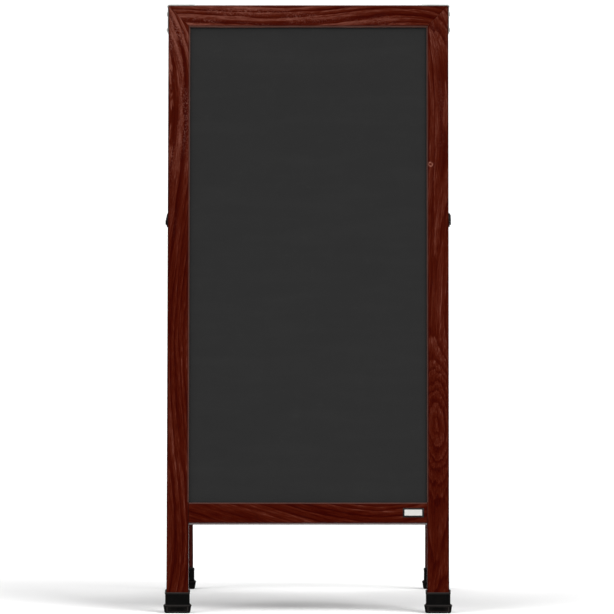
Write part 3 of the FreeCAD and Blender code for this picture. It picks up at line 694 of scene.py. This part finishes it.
writing_laminate = make_writing_laminate()
fibreboard = make_fibreboard()
balancing_sheet = make_balancing_sheet()
for frame_name in SWING:
    finish_node(f"{frame_name}_writing_surface", writing_laminate)
    finish_node(f"{frame_name}_board_core", fibreboard)
    finish_node(f"{frame_name}_board_backing", balancing_sheet)

# ---- Boots ----
# Black rubber boots, moulded in one piece: a thin cup that the leg pushes into, and a wider foot
# with a rounded ledge, a sunk panel on its front and a sole cut level with the ground.

BOOT_WALL = 0.002
BOOT_ROOM = 0.0001
FOOT_HEIGHT = 0.014
FOOT_CORNER = 0.0035
LEDGE_REACH = 0.003
SOLE_REACH = 0.001
CUP_FRONT_HEIGHT = 0.036
CUP_BACK_HEIGHT = 0.040
CUP_CORNER = 0.0016
POCKET_CORNER = 0.0006
PANEL_WIDTH = 0.034
PANEL_LOW = 0.0035
PANEL_HIGH = 0.0105
PANEL_DEPTH = 0.001
PANEL_WALL = 0.0003
SOLE_ROUND = 0.003
LEDGE_ROUND = 0.0016
BEAD = 0.0005
LIP_STEP = 0.0006

# Rings over the ledge: how far under its top and how far drawn in, as shares of its round, and how
# strongly a painted highlight lightens them.
LEDGE = ((1.3, 0, 0), (1, 0, 0.3), (0.4, 0.25, 0.7), (0, 1, 0.3))

# Rings where the cup rises from the ledge: how far over the ledge, and how far drawn in.
CUP_FILLET = ((0.0002, -0.0009), (0.0010, -0.0003), (0.0022, 0))

# Rings about the cup's mouth: how far over its top edge, how far drawn in, and how strongly a painted
# highlight lightens them.
MOUTH = ((-0.0034, 0, 0), (-0.0030, -BEAD, 0.3), (-0.0012, -BEAD, 0.3),
         (-0.0004, -BEAD / 2, 0.9), (0, 0.0005, 1), (0, 0.0014, 1))

# How strongly a painted highlight lightens the front, point by point, on the rings about the sunk
# panel, counted from the sole.
PANEL_HIGHLIGHT = (1, 0.2, 0, 0, 0, 0.2, 1)
FRONT_HIGHLIGHTS = {5: 0.6, 6: 1, 7: PANEL_HIGHLIGHT, 8: PANEL_HIGHLIGHT, 9: 1}
SUNK_RINGS = (7, 8)


def boot_ring(half_width, front, back, corner):
    """A rounded rectangle about the leg, as (across, depth), from the front's left end all round.

    The front run carries extra points, where the sides of the sunk panel fall."""
    panel = PANEL_WIDTH / 2
    edges = [-panel - PANEL_WALL, -panel, -panel / 2, 0, panel / 2, panel, panel + PANEL_WALL]
    run = np.array([[x, front] for x in edges])
    arc = round_corner(corner, 5)
    right, left = half_width, -half_width
    return np.concatenate([
        run,
        np.stack([right - arc[:, 0], front + arc[:, 1]], -1),
        np.stack([right - arc[:, 1], back - arc[:, 0]], -1),
        np.stack([left + arc[:, 0], back - arc[:, 1]], -1),
        np.stack([left + arc[:, 1], front + arc[:, 0]], -1)])


def make_boot(node, frame_name, stile, material):
    """A boot as level rings from the sole up its outside, over the rim and down the cup's inside.

    A level ring at a height over the floor leans with the leg, so each point's height along the
    leg follows from its depth. Rim highlight is how strongly a painted highlight lightens each point."""
    low, high = hung_box(stile, frame_name)
    half_leg = (high[0] - low[0]) / 2
    outer = half_leg + BOOT_WALL
    front, back = low[1] - BOOT_WALL, high[1] + BOOT_WALL

    def foot(height, ease):
        """Outline of the foot: it widens from the sole to the ledge; ease draws it in."""
        share = min(height / FOOT_HEIGHT, 1)
        reach = SOLE_REACH + (LEDGE_REACH - SOLE_REACH) * share - ease
        return boot_ring(outer + reach, front - reach * math.cos(LEAN),
                         back + (SOLE_REACH - ease) * math.cos(LEAN), FOOT_CORNER)

    def cup(draw):
        """Outline of the cup, drawn in by a distance."""
        return boot_ring(outer - draw, front + draw, back - draw, max(CUP_CORNER - draw, POCKET_CORNER))

    outlines = [(rise, foot(rise, draw), 0) for draw, rise in round_corner(SOLE_ROUND, 6)]
    outlines += [(rise, foot(np.clip(rise, PANEL_LOW, PANEL_HIGH), 0), 0)
                 for rise in (PANEL_LOW - PANEL_WALL, PANEL_LOW, PANEL_HIGH, PANEL_HIGH + PANEL_WALL)]
    outlines += [(FOOT_HEIGHT - LEDGE_ROUND * under, foot(FOOT_HEIGHT, LEDGE_ROUND * ease), highlight)
                 for under, ease, highlight in LEDGE]
    outlines += [(FOOT_HEIGHT + rise, cup(draw), 0) for rise, draw in CUP_FILLET]
    rings, rim_highlights = [], []
    for row, (height, outline, highlight) in enumerate(outlines):
        outline[1:6, 1] += PANEL_DEPTH if row in SUNK_RINGS else 0
        drop = (height - PIN[2] + outline[:, 1] * math.sin(LEAN)) / math.cos(LEAN)
        rings.append(np.column_stack([outline, drop]))
        rim_highlights.append(np.full(len(outline), float(highlight)))
        rim_highlights[-1][:7] = FRONT_HIGHLIGHTS.get(row, highlight)
    for rise, draw, highlight in MOUTH:
        outline = cup(draw)
        share = (outline[:, 1] - front) / (back - front)
        top = CUP_FRONT_HEIGHT + (CUP_BACK_HEIGHT - CUP_FRONT_HEIGHT) * share + rise
        level = (outline[:, 1] * math.sin(LEAN) - PIN[2]) / math.cos(LEAN)
        rings.append(np.column_stack([outline, level + top]))
        rim_highlights.append(np.full(len(outline), highlight))
    pocket = boot_ring(half_leg + BOOT_ROOM, low[1] - BOOT_ROOM, high[1] + BOOT_ROOM, POCKET_CORNER)
    rings.append(np.column_stack([pocket, rings[-1][:, 2] - LIP_STEP]))
    rings.append(np.column_stack([pocket, np.full(len(pocket), low[2] - BOOT_ROOM)]))
    rim_highlights += [np.full(len(pocket), 0.5), np.zeros(len(pocket))]
    places = np.array(rings) + [(low[0] + high[0]) / 2, 0, 0]
    frame_piece(f"{node}_rubber", node, frame_name, material, [places],
                {"rim_highlight": np.concatenate(rim_highlights)})


def make_boot_rubber():
    """Moulded black rubber: a faint mould grain, dull bloom, dust low on the foot, and rims lightened by
    a painted highlight.
    """
    made, tree, shader = new_material("boot_rubber")
    place, wear = wear_over(tree, 4.0)
    rim_highlight = add(tree, "Attribute", attribute_name="rim_highlight").outputs["Fac"]
    height = add(tree, "SeparateXYZ", {0: place}).outputs["Z"]
    low = spread(tree, height, 0.0, 0.012, 1.0, 0.0)
    colour = mixed(tree, wear["Mottle"], (0.0009, 0.0008, 0.0008), (0.0026, 0.0024, 0.0022))
    # Painted highlight: the rims and the edges of the sunk panel are lightened.
    colour = coated(tree, colour, (rim_highlight, 0.8, (0.034, 0.029, 0.027)),
                    (wear["Dust"], plus(tree, 0.010, low, 0.08), (0.12, 0.10, 0.085)))
    feed(tree, shader, {"Base Color": colour, "Roughness": plus(tree, 0.42, wear["Mottle"], 0.18),
                        "Normal": bumped(tree, wear["Speckle"], 0.00006, 0.7),
                        "Specular IOR Level": 0.04})
    return made


boot_rubber = make_boot_rubber()
for frame_name in SWING:
    for side in SIDES:
        make_boot(f"{frame_name}_{side}_boot", frame_name, f"{frame_name}_{side}_stile", boot_rubber)

# ---- Hinge leaves ----
# Zinc-plated steel strip, bent over each top corner, with tongues along its inner edge rolled round
# the pin. The front leaf carries two knuckles and the rear leaf the one between them.

STRIP = 0.0015
STRIP_ARRIS = 0.00035
STRIP_CORNER = 0.0025
BEND_RADIUS = 0.0028
TONGUE_LAP = 0.0006
TONGUE_GAP = 0.0004
TONGUE_THINNED = 0.00004
CURL_END = 205


def bar_section(half_width, half_thick, arris, count=4):
    """A flat bar's outline with eased edges, as (width, thickness) offsets from its centre."""
    arc = round_corner(arris, count)
    w, h = half_width, half_thick
    return np.concatenate([
        np.stack([w - arc[:, 0], arc[:, 1] - h], -1),
        np.stack([w - arc[:, 1], h - arc[:, 0]], -1),
        np.stack([arc[:, 0] - w, h - arc[:, 1]], -1),
        np.stack([arc[:, 1] - w, arc[:, 0] - h], -1)])


def bent_bar(path, normals, axis, span, thickness, corner):
    """A flat bar carried along a path: its width lies along axis, its thickness along the normals.

    Within a corner radius of each end the bar narrows as a quarter circle does."""
    path, normals = np.array(path, float), np.array(normals, float)
    travel = np.r_[0, np.cumsum(np.linalg.norm(np.diff(path, axis=0), axis=1))]
    from_end = np.minimum(travel, travel[-1] - travel)
    middle, half = (span[0] + span[1]) / 2, (span[1] - span[0]) / 2
    rings = []
    for place, normal, distance in zip(path, normals, from_end):
        inside = max(corner - distance, 0)
        narrowed = half - (corner - math.sqrt(max(corner ** 2 - inside ** 2, 0)))
        section = bar_section(narrowed, thickness / 2, STRIP_ARRIS)
        rings.append(place + np.outer(section[:, 0] + middle, axis) + np.outer(section[:, 1], normal))
    return np.array(rings)


def straight(start, end, corner, count=6):
    """Places along a straight run, crowded within a corner radius of its start."""
    start, end = np.array(start, float), np.array(end, float)
    length = np.linalg.norm(end - start)
    near = corner * (1 - np.cos(np.linspace(0, math.pi / 2, count)))
    travel = np.r_[near, length]
    return start + np.outer(travel / length, end - start)


def arc_path(centre, radius, first, last, count):
    """Places and outward normals round part of a circle in a plane of two coordinates."""
    turn = np.radians(np.linspace(first, last, count))
    outward = np.stack([np.cos(turn), np.sin(turn)], -1)
    return np.array(centre) + radius * outward, outward


def leaf_strip(hand, end, top, side_drop, length, span):
    """The bent strip: inwards end of the top arm, over the corner, down the side arm.

    The path is the strip's mid line in X and Z; X is mirrored for the left hand."""
    half = STRIP / 2
    bend = BEND_RADIUS - half
    corner = (end - BEND_RADIUS, top - BEND_RADIUS)
    over = straight((end - length, top - half), (corner[0], top - half), STRIP_CORNER)
    bent, outward = arc_path(corner, bend, 90, 0, 9)
    down = straight((end - half, top - side_drop), (end - half, corner[1]), STRIP_CORNER)[::-1]
    flat = np.concatenate([over[:-1], bent, down[1:]])
    facing = np.concatenate([np.tile([0, 1], (len(over) - 1, 1)), outward,
                             np.tile([1, 0], (len(down) - 1, 1))])
    path = np.stack([hand * flat[:, 0], np.zeros(len(flat)), flat[:, 1]], -1)
    normals = np.stack([hand * facing[:, 0], np.zeros(len(flat)), facing[:, 1]], -1)
    return bent_bar(path, normals, (0, 1, 0), span, STRIP, STRIP_CORNER)


def rolled_tongue(strip_edge, barrel, span):
    """A tongue that leaves the strip's edge, runs under the pin and curls over it almost shut."""
    radius = barrel - STRIP / 2
    run = np.stack([np.linspace(strip_edge - TONGUE_LAP, 0, 4)[:-1], np.full(3, -radius)], -1)
    curl, outward = arc_path((0, 0), radius, -90, CURL_END, 30)
    flat = np.concatenate([run, curl])
    facing = np.concatenate([np.tile([0, -1], (3, 1)), outward])
    path = np.column_stack([np.zeros(len(flat)), flat])
    normals = np.column_stack([np.zeros(len(flat)), facing])
    return bent_bar(path, normals, (1, 0, 0), span, STRIP - TONGUE_THINNED, 0.0)


def knuckle_spans(node, frame_name, barrel):
    """Where along X a leaf has knuckles: the stretches of its vertices that lie above the pin."""
    places = hanging(vertices_of(node), frame_name)
    across = np.unique(np.round(places[places[:, 2] > barrel * 0.6, 0], 5))
    ends = across[[0, -1]] if frame_name == "rear" else across[[0, 1, -2, -1]]
    return ends.reshape(-1, 2)


def make_leaf(node, frame_name, material):
    """A hinge leaf: the bent strip with its rolled tongues."""
    low, high = hung_box(node, frame_name)
    barrel = high[2]
    hand = 1 if low[0] > 0 else -1
    end = max(high[0] * hand, low[0] * hand)
    top = STRIP - barrel
    edge = -barrel - TONGUE_GAP
    stacks = [leaf_strip(hand, end, top, top - low[2], high[0] - low[0], (low[1], edge))]
    stacks += [rolled_tongue(edge, barrel, span) for span in knuckle_spans(node, frame_name, barrel)]
    frame_piece(f"{node}_strip", node, frame_name, material, stacks, sharp=50)


def make_zinc_plate(name, tint, dull):
    """Bright zinc plate: soft crystalline mottling, fine drawn lines and a few scuffs."""
    made, tree, shader = new_material(name)
    place, wear = wear_over(tree, 6.0)
    drawn = noise(tree, place, (60, 2600, 2600))
    crystals = add(tree, "TexVoronoi", {"Vector": place, "Scale": 420.0}).outputs["Color"]
    facet = add(tree, "SeparateColor", {0: crystals}).outputs[0]
    light = tuple(min(1.0, value * 1.14) for value in tint)
    dark = tuple(value * 0.72 for value in tint)
    shade = plus(tree, times(tree, wear["Mottle"], 0.9), facet, 0.25)
    colour = coated(tree, mixed(tree, shade, dark, light), (wear["Dust"], 0.18, (0.35, 0.34, 0.31)))
    relief = plus(tree, wear["Scratches"], drawn, 0.4)
    feed(tree, shader, {"Base Color": colour, "Metallic": 1.0,
                        "Roughness": plus(tree, plus(tree, dull, wear["Mottle"], 0.2), drawn, 0.1),
                        "Normal": bumped(tree, relief, 0.00002, 0.7)})
    return made


hinge_zinc = make_zinc_plate("hinge_zinc", (0.56, 0.56, 0.54), 0.24)
for frame_name in SWING:
    for side in SIDES:
        make_leaf(f"{frame_name}_{side}_hinge_leaf", frame_name, hinge_zinc)

# ---- Hinge pins ----
# Zinc-plated steel wire, cut to length, pushed through the three knuckles at each top corner and
# headed at both ends.


PIN_DOME = 0.001
PIN_SHAFT_SHARE = 0.625


def square_to(axis):
    """Two directions square to an axis and to each other."""
    across = np.cross(axis, (0, 1, 0) if abs(axis[1]) < 0.9 else (1, 0, 0))
    across = across / np.linalg.norm(across)
    return across, np.cross(axis, across)


def turned(profile, start, axis, count=28):
    """A turned solid: profile gives (distance along the axis, radius) and is swept once round it.

    A radius of nothing at either end closes the solid in a point."""
    axis = np.array(axis, float)
    across, upward = square_to(axis)
    turn = np.linspace(0, 2 * math.pi, count, endpoint=False)
    circle = np.outer(np.cos(turn), across) + np.outer(np.sin(turn), upward)
    travel, radius = np.array(profile, float).T
    return np.array(start) + travel[:, None, None] * axis + radius[:, None, None] * circle


def domed(start, height, radius, count=7):
    """A quarter-ellipse profile from the rim at start up to a point at start plus height."""
    turn = np.linspace(0, math.pi / 2, count)
    return [(start + height * math.sin(a), radius * math.cos(a)) for a in turn]


def make_hinge_pin(node, material):
    """A pin with a low dome at each end, from the node's own length and head size."""
    low, high = hung_box(node, "front")
    head = (high[2] - low[2]) / 2
    shaft = head * PIN_SHAFT_SHARE
    length = high[0] - low[0]
    dome = domed(0, PIN_DOME, head)
    profile = [(PIN_DOME - travel, radius) for travel, radius in dome[::-1]]
    profile += [(PIN_DOME, shaft), (length - PIN_DOME, shaft)]
    profile += [(length - PIN_DOME + travel, radius) for travel, radius in dome]
    frame_piece(f"{node}_steel", node, "front", material,
                [turned(profile, (low[0], 0, 0), (1, 0, 0))])


for side in SIDES:
    make_hinge_pin(f"{side}_hinge_pin", hinge_zinc)

# ---- Hinge screws ----
# Zinc-plated pan-head wood screws with a cross recess: two go down through each leaf into the top
# rail, and two go in from the side.


CROWN_SHARE = 0.45
CROSS_HALF_WIDTH = 0.13
CROSS_REACH = 0.56
CROSS_WALL = 0.05
CROSS_DEPTH = 0.85
HEAD_RINGS = 22
HEAD_SPOKES = 64


def loose_solids(node, frame_name):
    """The separate solids of a node, in the order of its vertices, as points in the hanging frame."""
    shape = merged(frame["nodes"][node].data)
    waiting, found = set(shape.verts), []
    for first in shape.verts:
        if first not in waiting:
            continue
        waiting.remove(first)
        reached, solid = [first], []
        while reached:
            vertex = reached.pop()
            solid.append(tuple(vertex.co))
            for edge in vertex.link_edges:
                other = edge.other_vert(vertex)
                if other in waiting:
                    waiting.remove(other)
                    reached.append(other)
        found.append(hanging(np.array(solid), frame_name))
    shape.free()
    return found


def screw_axis(places):
    """A screw's head end, its direction from tip to head and its length, from its points."""
    low, high = places.min(0), places.max(0)
    size = high - low
    along = int(np.argmax(np.abs(size - np.median(size))))
    ends = [places[np.abs(places[:, along] - end) < 1e-5] for end in (low[along], high[along])]
    widths = [np.ptp(end, axis=0).max() for end in ends]
    direction = np.zeros(3)
    direction[along] = 1 if widths[1] > widths[0] else -1
    return (low + high) / 2 + direction * size[along] / 2, direction, size[along]


def screw_head(head_end, direction, radius, height, crown):
    """A pan head with a cross recess, on a polar grid of rings and spokes, and its two directions.

    Height falls from the crown to the rim as a fourth power of the radius; inside the cross, where
    the smaller of the two plan distances is under its half width, it is sunk. Each is turned by an
    angle of its own."""
    share = np.linspace(0.002, 1, HEAD_RINGS)[:, None]
    turn = np.linspace(0, 2 * math.pi, HEAD_SPOKES, endpoint=False)[None, :]
    x, y = radius * share * np.cos(turn), radius * share * np.sin(turn)
    narrow, wide = np.minimum(abs(x), abs(y)), np.maximum(abs(x), abs(y))
    slot, reach, wall = radius * CROSS_HALF_WIDTH, radius * CROSS_REACH, radius * CROSS_WALL
    sunk = np.clip((slot - narrow) / wall + 0.5, 0, 1) * np.clip((reach - wide) / wall / 3 + 0.5, 0, 1)
    floor = height * CROSS_DEPTH * (1 - 0.55 * wide / reach)
    rise = crown * (1 - share ** 4) - sunk * floor
    across, upward = square_to(direction)
    spin = 0.6 + 37 * float(head_end @ (1, 2, 3))
    along_x = math.cos(spin) * across + math.sin(spin) * upward
    along_y = math.cos(spin) * upward - math.sin(spin) * across
    top = head_end - direction * crown
    return (top + x[..., None] * along_x + y[..., None] * along_y + rise[..., None] * direction,
            along_x, along_y)


def make_screw(places, head_radius, head_height, shank_radius, neck=None):
    """A screw as one stack of rings: crown, rim, underside of the head, neck, shank and point.

    A neck is a plain shoulder, given by its radius and by where it ends under the crown."""
    head_end, direction, length = screw_axis(places)
    crown = head_height * CROWN_SHARE
    top, along_x, along_y = screw_head(head_end, direction, head_radius, head_height, crown)
    turn = np.linspace(0, 2 * math.pi, HEAD_SPOKES, endpoint=False)
    circle = np.outer(np.cos(turn), along_x) + np.outer(np.sin(turn), along_y)
    profile = [(crown + head_height * 0.12, head_radius),
               (head_height - 0.0001, head_radius * 0.99), (head_height, head_radius * 0.96)]
    if neck:
        profile += [(head_height, neck[0]), (neck[1], neck[0])]
    profile += [(profile[-1][0], shank_radius), (length - 2 * shank_radius, shank_radius)]
    profile += [(length, 0.0)]
    rest = [head_end - travel * direction + radius * circle for travel, radius in profile]
    return np.concatenate([top, np.array(rest)])


def make_screws(kind, name, frame_name, material, sizes, neck_radius=None):
    """All of a frame's screws of one kind; a neck reaches from the head to the stile's outer face.

    Sizes are the radius and height of the head, and the radius of the shank."""
    stile_side = np.abs([corner[0] for corner in hung_box(f"{frame_name}_left_stile", frame_name)]).max()
    stacks = []
    for places in loose_solids(f"{frame_name}_{kind}", frame_name):
        neck = neck_radius and (neck_radius, np.abs(places[:, 0]).max() - stile_side)
        stacks.append(make_screw(places, *sizes, neck))
    frame_piece(f"{frame_name}_{name}", f"{frame_name}_{kind}", frame_name, material, stacks,
                sharp=45)


HINGE_SCREW = (0.0033, 0.0018, 0.00175)

screw_zinc = make_zinc_plate("screw_zinc", (0.60, 0.60, 0.58), 0.26)
for frame_name in SWING:
    make_screws("hinge_screws", "hinge_wood_screws", frame_name, screw_zinc, HINGE_SCREW)

# ---- Folding braces ----
# Two blued steel bars on each side, stamped from strip and tumbled, riveted together at a knuckle.
# Shoulder screws let them turn on the stiles; the rear ones stand out on spacers.

BAR_EDGE = 0.00035
BRACE_SCREW = (0.005, 0.002, 0.0019)
BRACE_SHOULDER = 0.0025
RIVET_EASE = 0.0002
RIVET_RIM = 0.0003


def eased_copy(node, name, width):
    """A CAD node's shape with its edges broken: a copy with its doubles merged and its flat faces
    made whole, and a bevel on every edge that turns by more than 40 degrees."""
    mesh = frame["nodes"][node].data.copy()
    mesh.name = name
    mesh.materials.clear()
    shape = merged(mesh)
    bmesh.ops.dissolve_limit(shape, angle_limit=math.radians(1), verts=shape.verts,
                             edges=shape.edges)
    made = smooth_object(name, mesh, shape, SHARP)
    bevel = made.modifiers.new("tumbled edges", "BEVEL")
    bevel.width = width
    bevel.segments = 2
    bevel.limit_method = "ANGLE"
    bevel.angle_limit = math.radians(40)
    bevel.use_clamp_overlap = True
    even_shading(made)
    return made


def make_blued_steel():
    """Black-oxide steel: deep blue-black, faintly mottled, with bright scratches."""
    made, tree, shader = new_material("blued_steel")
    place, wear = wear_over(tree, 5.0)
    drawn = noise(tree, place, (2400, 40, 2400))
    colour = coated(tree, mixed(tree, wear["Mottle"], (0.0030, 0.0031, 0.0036), (0.0095, 0.0090, 0.0090)),
                    (wear["Scratches"], 0.6, (0.16, 0.155, 0.15)),
                    (wear["Dust"], 0.12, (0.07, 0.06, 0.055)))
    feed(tree, shader, {"Base Color": colour, "Metallic": plus(tree, 0.12, wear["Scratches"], 0.5),
                        "Roughness": plus(tree, 0.45, wear["Mottle"], 0.2),
                        "Normal": bumped(tree, plus(tree, wear["Speckle"], drawn, 0.3), 0.00002, 0.6),
                        "Specular IOR Level": 0.1})
    return made


def make_rivet(side, material):
    """The headed half of the knuckle rivet: a shank through the rear bar under a low dome."""
    low, high = (np.array(corner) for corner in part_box(f"{side}_rear_rivet"))
    bar_low, bar_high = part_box(f"{side}_rear_link")
    hand, inner = (1, low[0]) if low[0] > 0 else (-1, high[0])
    head = (high[2] - low[2]) / 2
    thickness = bar_high[0] - bar_low[0]
    middle = (low + high) / 2
    profile = [(0, 0), (0, BRACE_SHOULDER - RIVET_EASE), (RIVET_EASE, BRACE_SHOULDER),
               (thickness, BRACE_SHOULDER), (thickness, head)]
    profile += domed(thickness + RIVET_RIM, high[0] - low[0] - thickness - RIVET_RIM, head)
    points, faces = all_of([turned(profile, (inner, middle[1], middle[2]), (hand, 0, 0), 32)])
    piece = piece_from(f"{side}_knuckle_rivet", points, faces)
    stand_in(piece, f"{side}_rear_rivet", f"{side}_rear_link", material)


blued_steel = make_blued_steel()
for side in SIDES:
    for end in SWING:
        link = f"{side}_{end}_link"
        stand_in(eased_copy(link, f"{side}_{end}_brace_bar", BAR_EDGE), link, link,
                 blued_steel)
spacer_washers = eased_copy("rear_brace_spacers", "rear_spacer_washers", BAR_EDGE)
stand_in(spacer_washers, "rear_brace_spacers", "rear_frame", blued_steel)
for frame_name in SWING:
    make_screws("brace_screws", "shoulder_screws", frame_name, blued_steel, BRACE_SCREW,
                BRACE_SHOULDER)
for side in SIDES:
    make_rivet(side, blued_steel)
    finish_node(f"{side}_front_rivet", blued_steel)

# ---- Bumpers ----
# Two black rubber buttons push into the inner face of the rear stiles, under the lower rail, and
# keep the two boards from knocking together when the stand is folded.


STEM_SHARE = 0.55
STEM_LEAD = 0.0006
HEAD_EASE = 0.0003
HEAD_ROUND = 0.0014


def make_bumpers(material):
    """Turned buttons: a rounded head on a thinner stem with a tapered end."""
    face = hung_box("rear_left_stile", "rear")[1][1]
    stacks = []
    for places in loose_solids("bumpers", "rear"):
        low, high = places.min(0), places.max(0)
        head = (high[0] - low[0]) / 2
        stem = head * STEM_SHARE
        middle = (low + high) / 2
        seat, length = face - low[1], high[1] - low[1]
        profile = [(0, 0), (0, stem * 0.8), (STEM_LEAD, stem), (seat, stem), (seat, head - HEAD_EASE),
                   (seat + HEAD_EASE, head)]
        profile += [(length - draw, head - back) for draw, back in round_corner(HEAD_ROUND)]
        profile += [(length, 0)]
        stacks.append(turned(profile, (middle[0], low[1], middle[2]), (0, 1, 0), 32))
    frame_piece("bumper_buttons", "bumpers", "rear", material, stacks)


make_bumpers(boot_rubber)

# ---- Badge ----
# A small black enamelled label plate, stuck on near the right end of the front lower rail. Its pale
# field is left blank.

PLATE_EDGE = 0.00025
FIELD_MARGIN = 0.0028
FIELD_THICK = 0.00015
FIELD_EASE = 0.0001
FIELD_CORNER = 0.0008


def make_enamel(name, tint, second):
    """Glossy enamel over metal: a slight orange peel and fine scratches."""
    made, tree, shader = new_material(name)
    wear = wear_over(tree, 7.0)[1]
    colour = coated(tree, mixed(tree, wear["Mottle"], tint, second),
                    (wear["Scratches"], 0.3, (0.25, 0.24, 0.23)))
    feed(tree, shader, {"Base Color": colour, "Roughness": plus(tree, 0.22, wear["Mottle"], 0.2),
                        "Normal": bumped(tree, wear["Mottle"], 0.00002, 0.5)})
    return made


def make_badge():
    """The plate with eased edges, and a thin field with round corners set on its face."""
    badge_black = make_enamel("badge_black", (0.006, 0.0055, 0.0055), (0.012, 0.011, 0.011))
    badge_pale = make_enamel("badge_pale", (0.54, 0.53, 0.51), (0.64, 0.63, 0.60))
    plate = eased_copy("front_badge", "badge_plate", PLATE_EDGE)
    stand_in(plate, "front_badge", "front_frame", badge_black)
    low, high = hung_box("front_badge", "front")
    middle = (low + high) / 2
    size = (high - low) / 2 - FIELD_MARGIN
    rings = []
    for rise, draw in ((0, 0), (FIELD_THICK * 0.7, 0), (FIELD_THICK, FIELD_EASE)):
        outline = bar_section(size[0] - draw, size[2] - draw, FIELD_CORNER, 5)
        rings.append(np.stack([middle[0] + outline[:, 0], np.full(len(outline), low[1] - rise),
                               middle[2] + outline[:, 1]], -1))
    points, faces = all_of([np.array(rings)])
    field = piece_from("badge_field", swung(points, "front"), faces)
    field.data.materials.append(badge_pale)
    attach(field, "front_frame")


make_badge()

# ---- Floor, light and camera ----
# A plain pale floor that runs out of sight, three broad soft lights and a long lens, a little above
# the middle of the stand and straight in front of it.

FLOOR_SIZE = 160.0


def make_floor():
    """A square floor whose paint has the faintest mottling."""
    mesh = bpy.data.meshes.new("floor")
    half = FLOOR_SIZE / 2
    mesh.from_pydata([(-half, -half, 0), (half, -half, 0), (half, half, 0), (-half, half, 0)], [],
                     [(0, 1, 2, 3)])
    material, tree, shader = new_material("floor_paint")
    wear = wear_over(tree, 0.3)[1]
    feed(tree, shader, {"Base Color": mixed(tree, wear["Mottle"], (0.80, 0.80, 0.80), (0.84, 0.84, 0.84)),
                        "Roughness": 0.9, "Specular IOR Level": 0.0})
    mesh.materials.append(material)
    placed("floor", mesh)


def add_sun(name, azimuth, elevation, strength, softness):
    """A distant lamp. Azimuth is where it stands, clockwise from the front of the stand."""
    lamp = bpy.data.lights.new(name, "SUN")
    lamp.energy = strength
    lamp.angle = math.radians(softness)
    placed(name, lamp).rotation_euler = (math.radians(90 - elevation), 0, math.radians(-azimuth))


def make_sky():
    """Soft light from overhead that fades out towards the walls; the eye sees a pale room."""
    world = bpy.data.worlds.new("sky")
    world.use_nodes = True
    tree = world.node_tree
    background = next(n for n in tree.nodes if n.type == "BACKGROUND")
    seen = add(tree, "LightPath").outputs["Is Camera Ray"]
    height = add(tree, "SeparateXYZ", {0: add(tree, "TexCoord").outputs["Generated"]}).outputs["Z"]
    glow = spread(tree, height, 0.62, 0.92, 0.03, 1.1)
    strength = add(tree, "Mix", {0: seen, 2: glow, 3: 1.0}, data_type="FLOAT").outputs[0]
    feed(tree, background.inputs, {"Color": (1, 1, 1, 1), "Strength": strength})
    bpy.context.scene.world = world


def aim_camera(place, target, lens):
    """A camera at a place, looking at a target, with its top upwards."""
    data = bpy.data.cameras.new("camera")
    data.lens = lens
    data.sensor_width = 36
    data.clip_end = 300
    made = placed("camera", data)
    gaze = np.array(target) - np.array(place)
    made.location = place
    made.rotation_euler = (math.atan2(gaze[2], math.hypot(gaze[0], gaze[1])) + math.pi / 2, 0,
                           -math.atan2(gaze[0], gaze[1]))
    bpy.context.scene.camera = made


make_floor()
make_sky()
add_sun("key", -56, 46, 2.4, 36)
add_sun("fill", 62, 42, 1.6, 44)
add_sun("back", 160, 62, 0.7, 70)
bpy.context.scene.view_settings.view_transform = "Standard"
aim_camera((0.078, -18.5, 1.4385), (-0.0025, 0, 0.5124), 623.7)
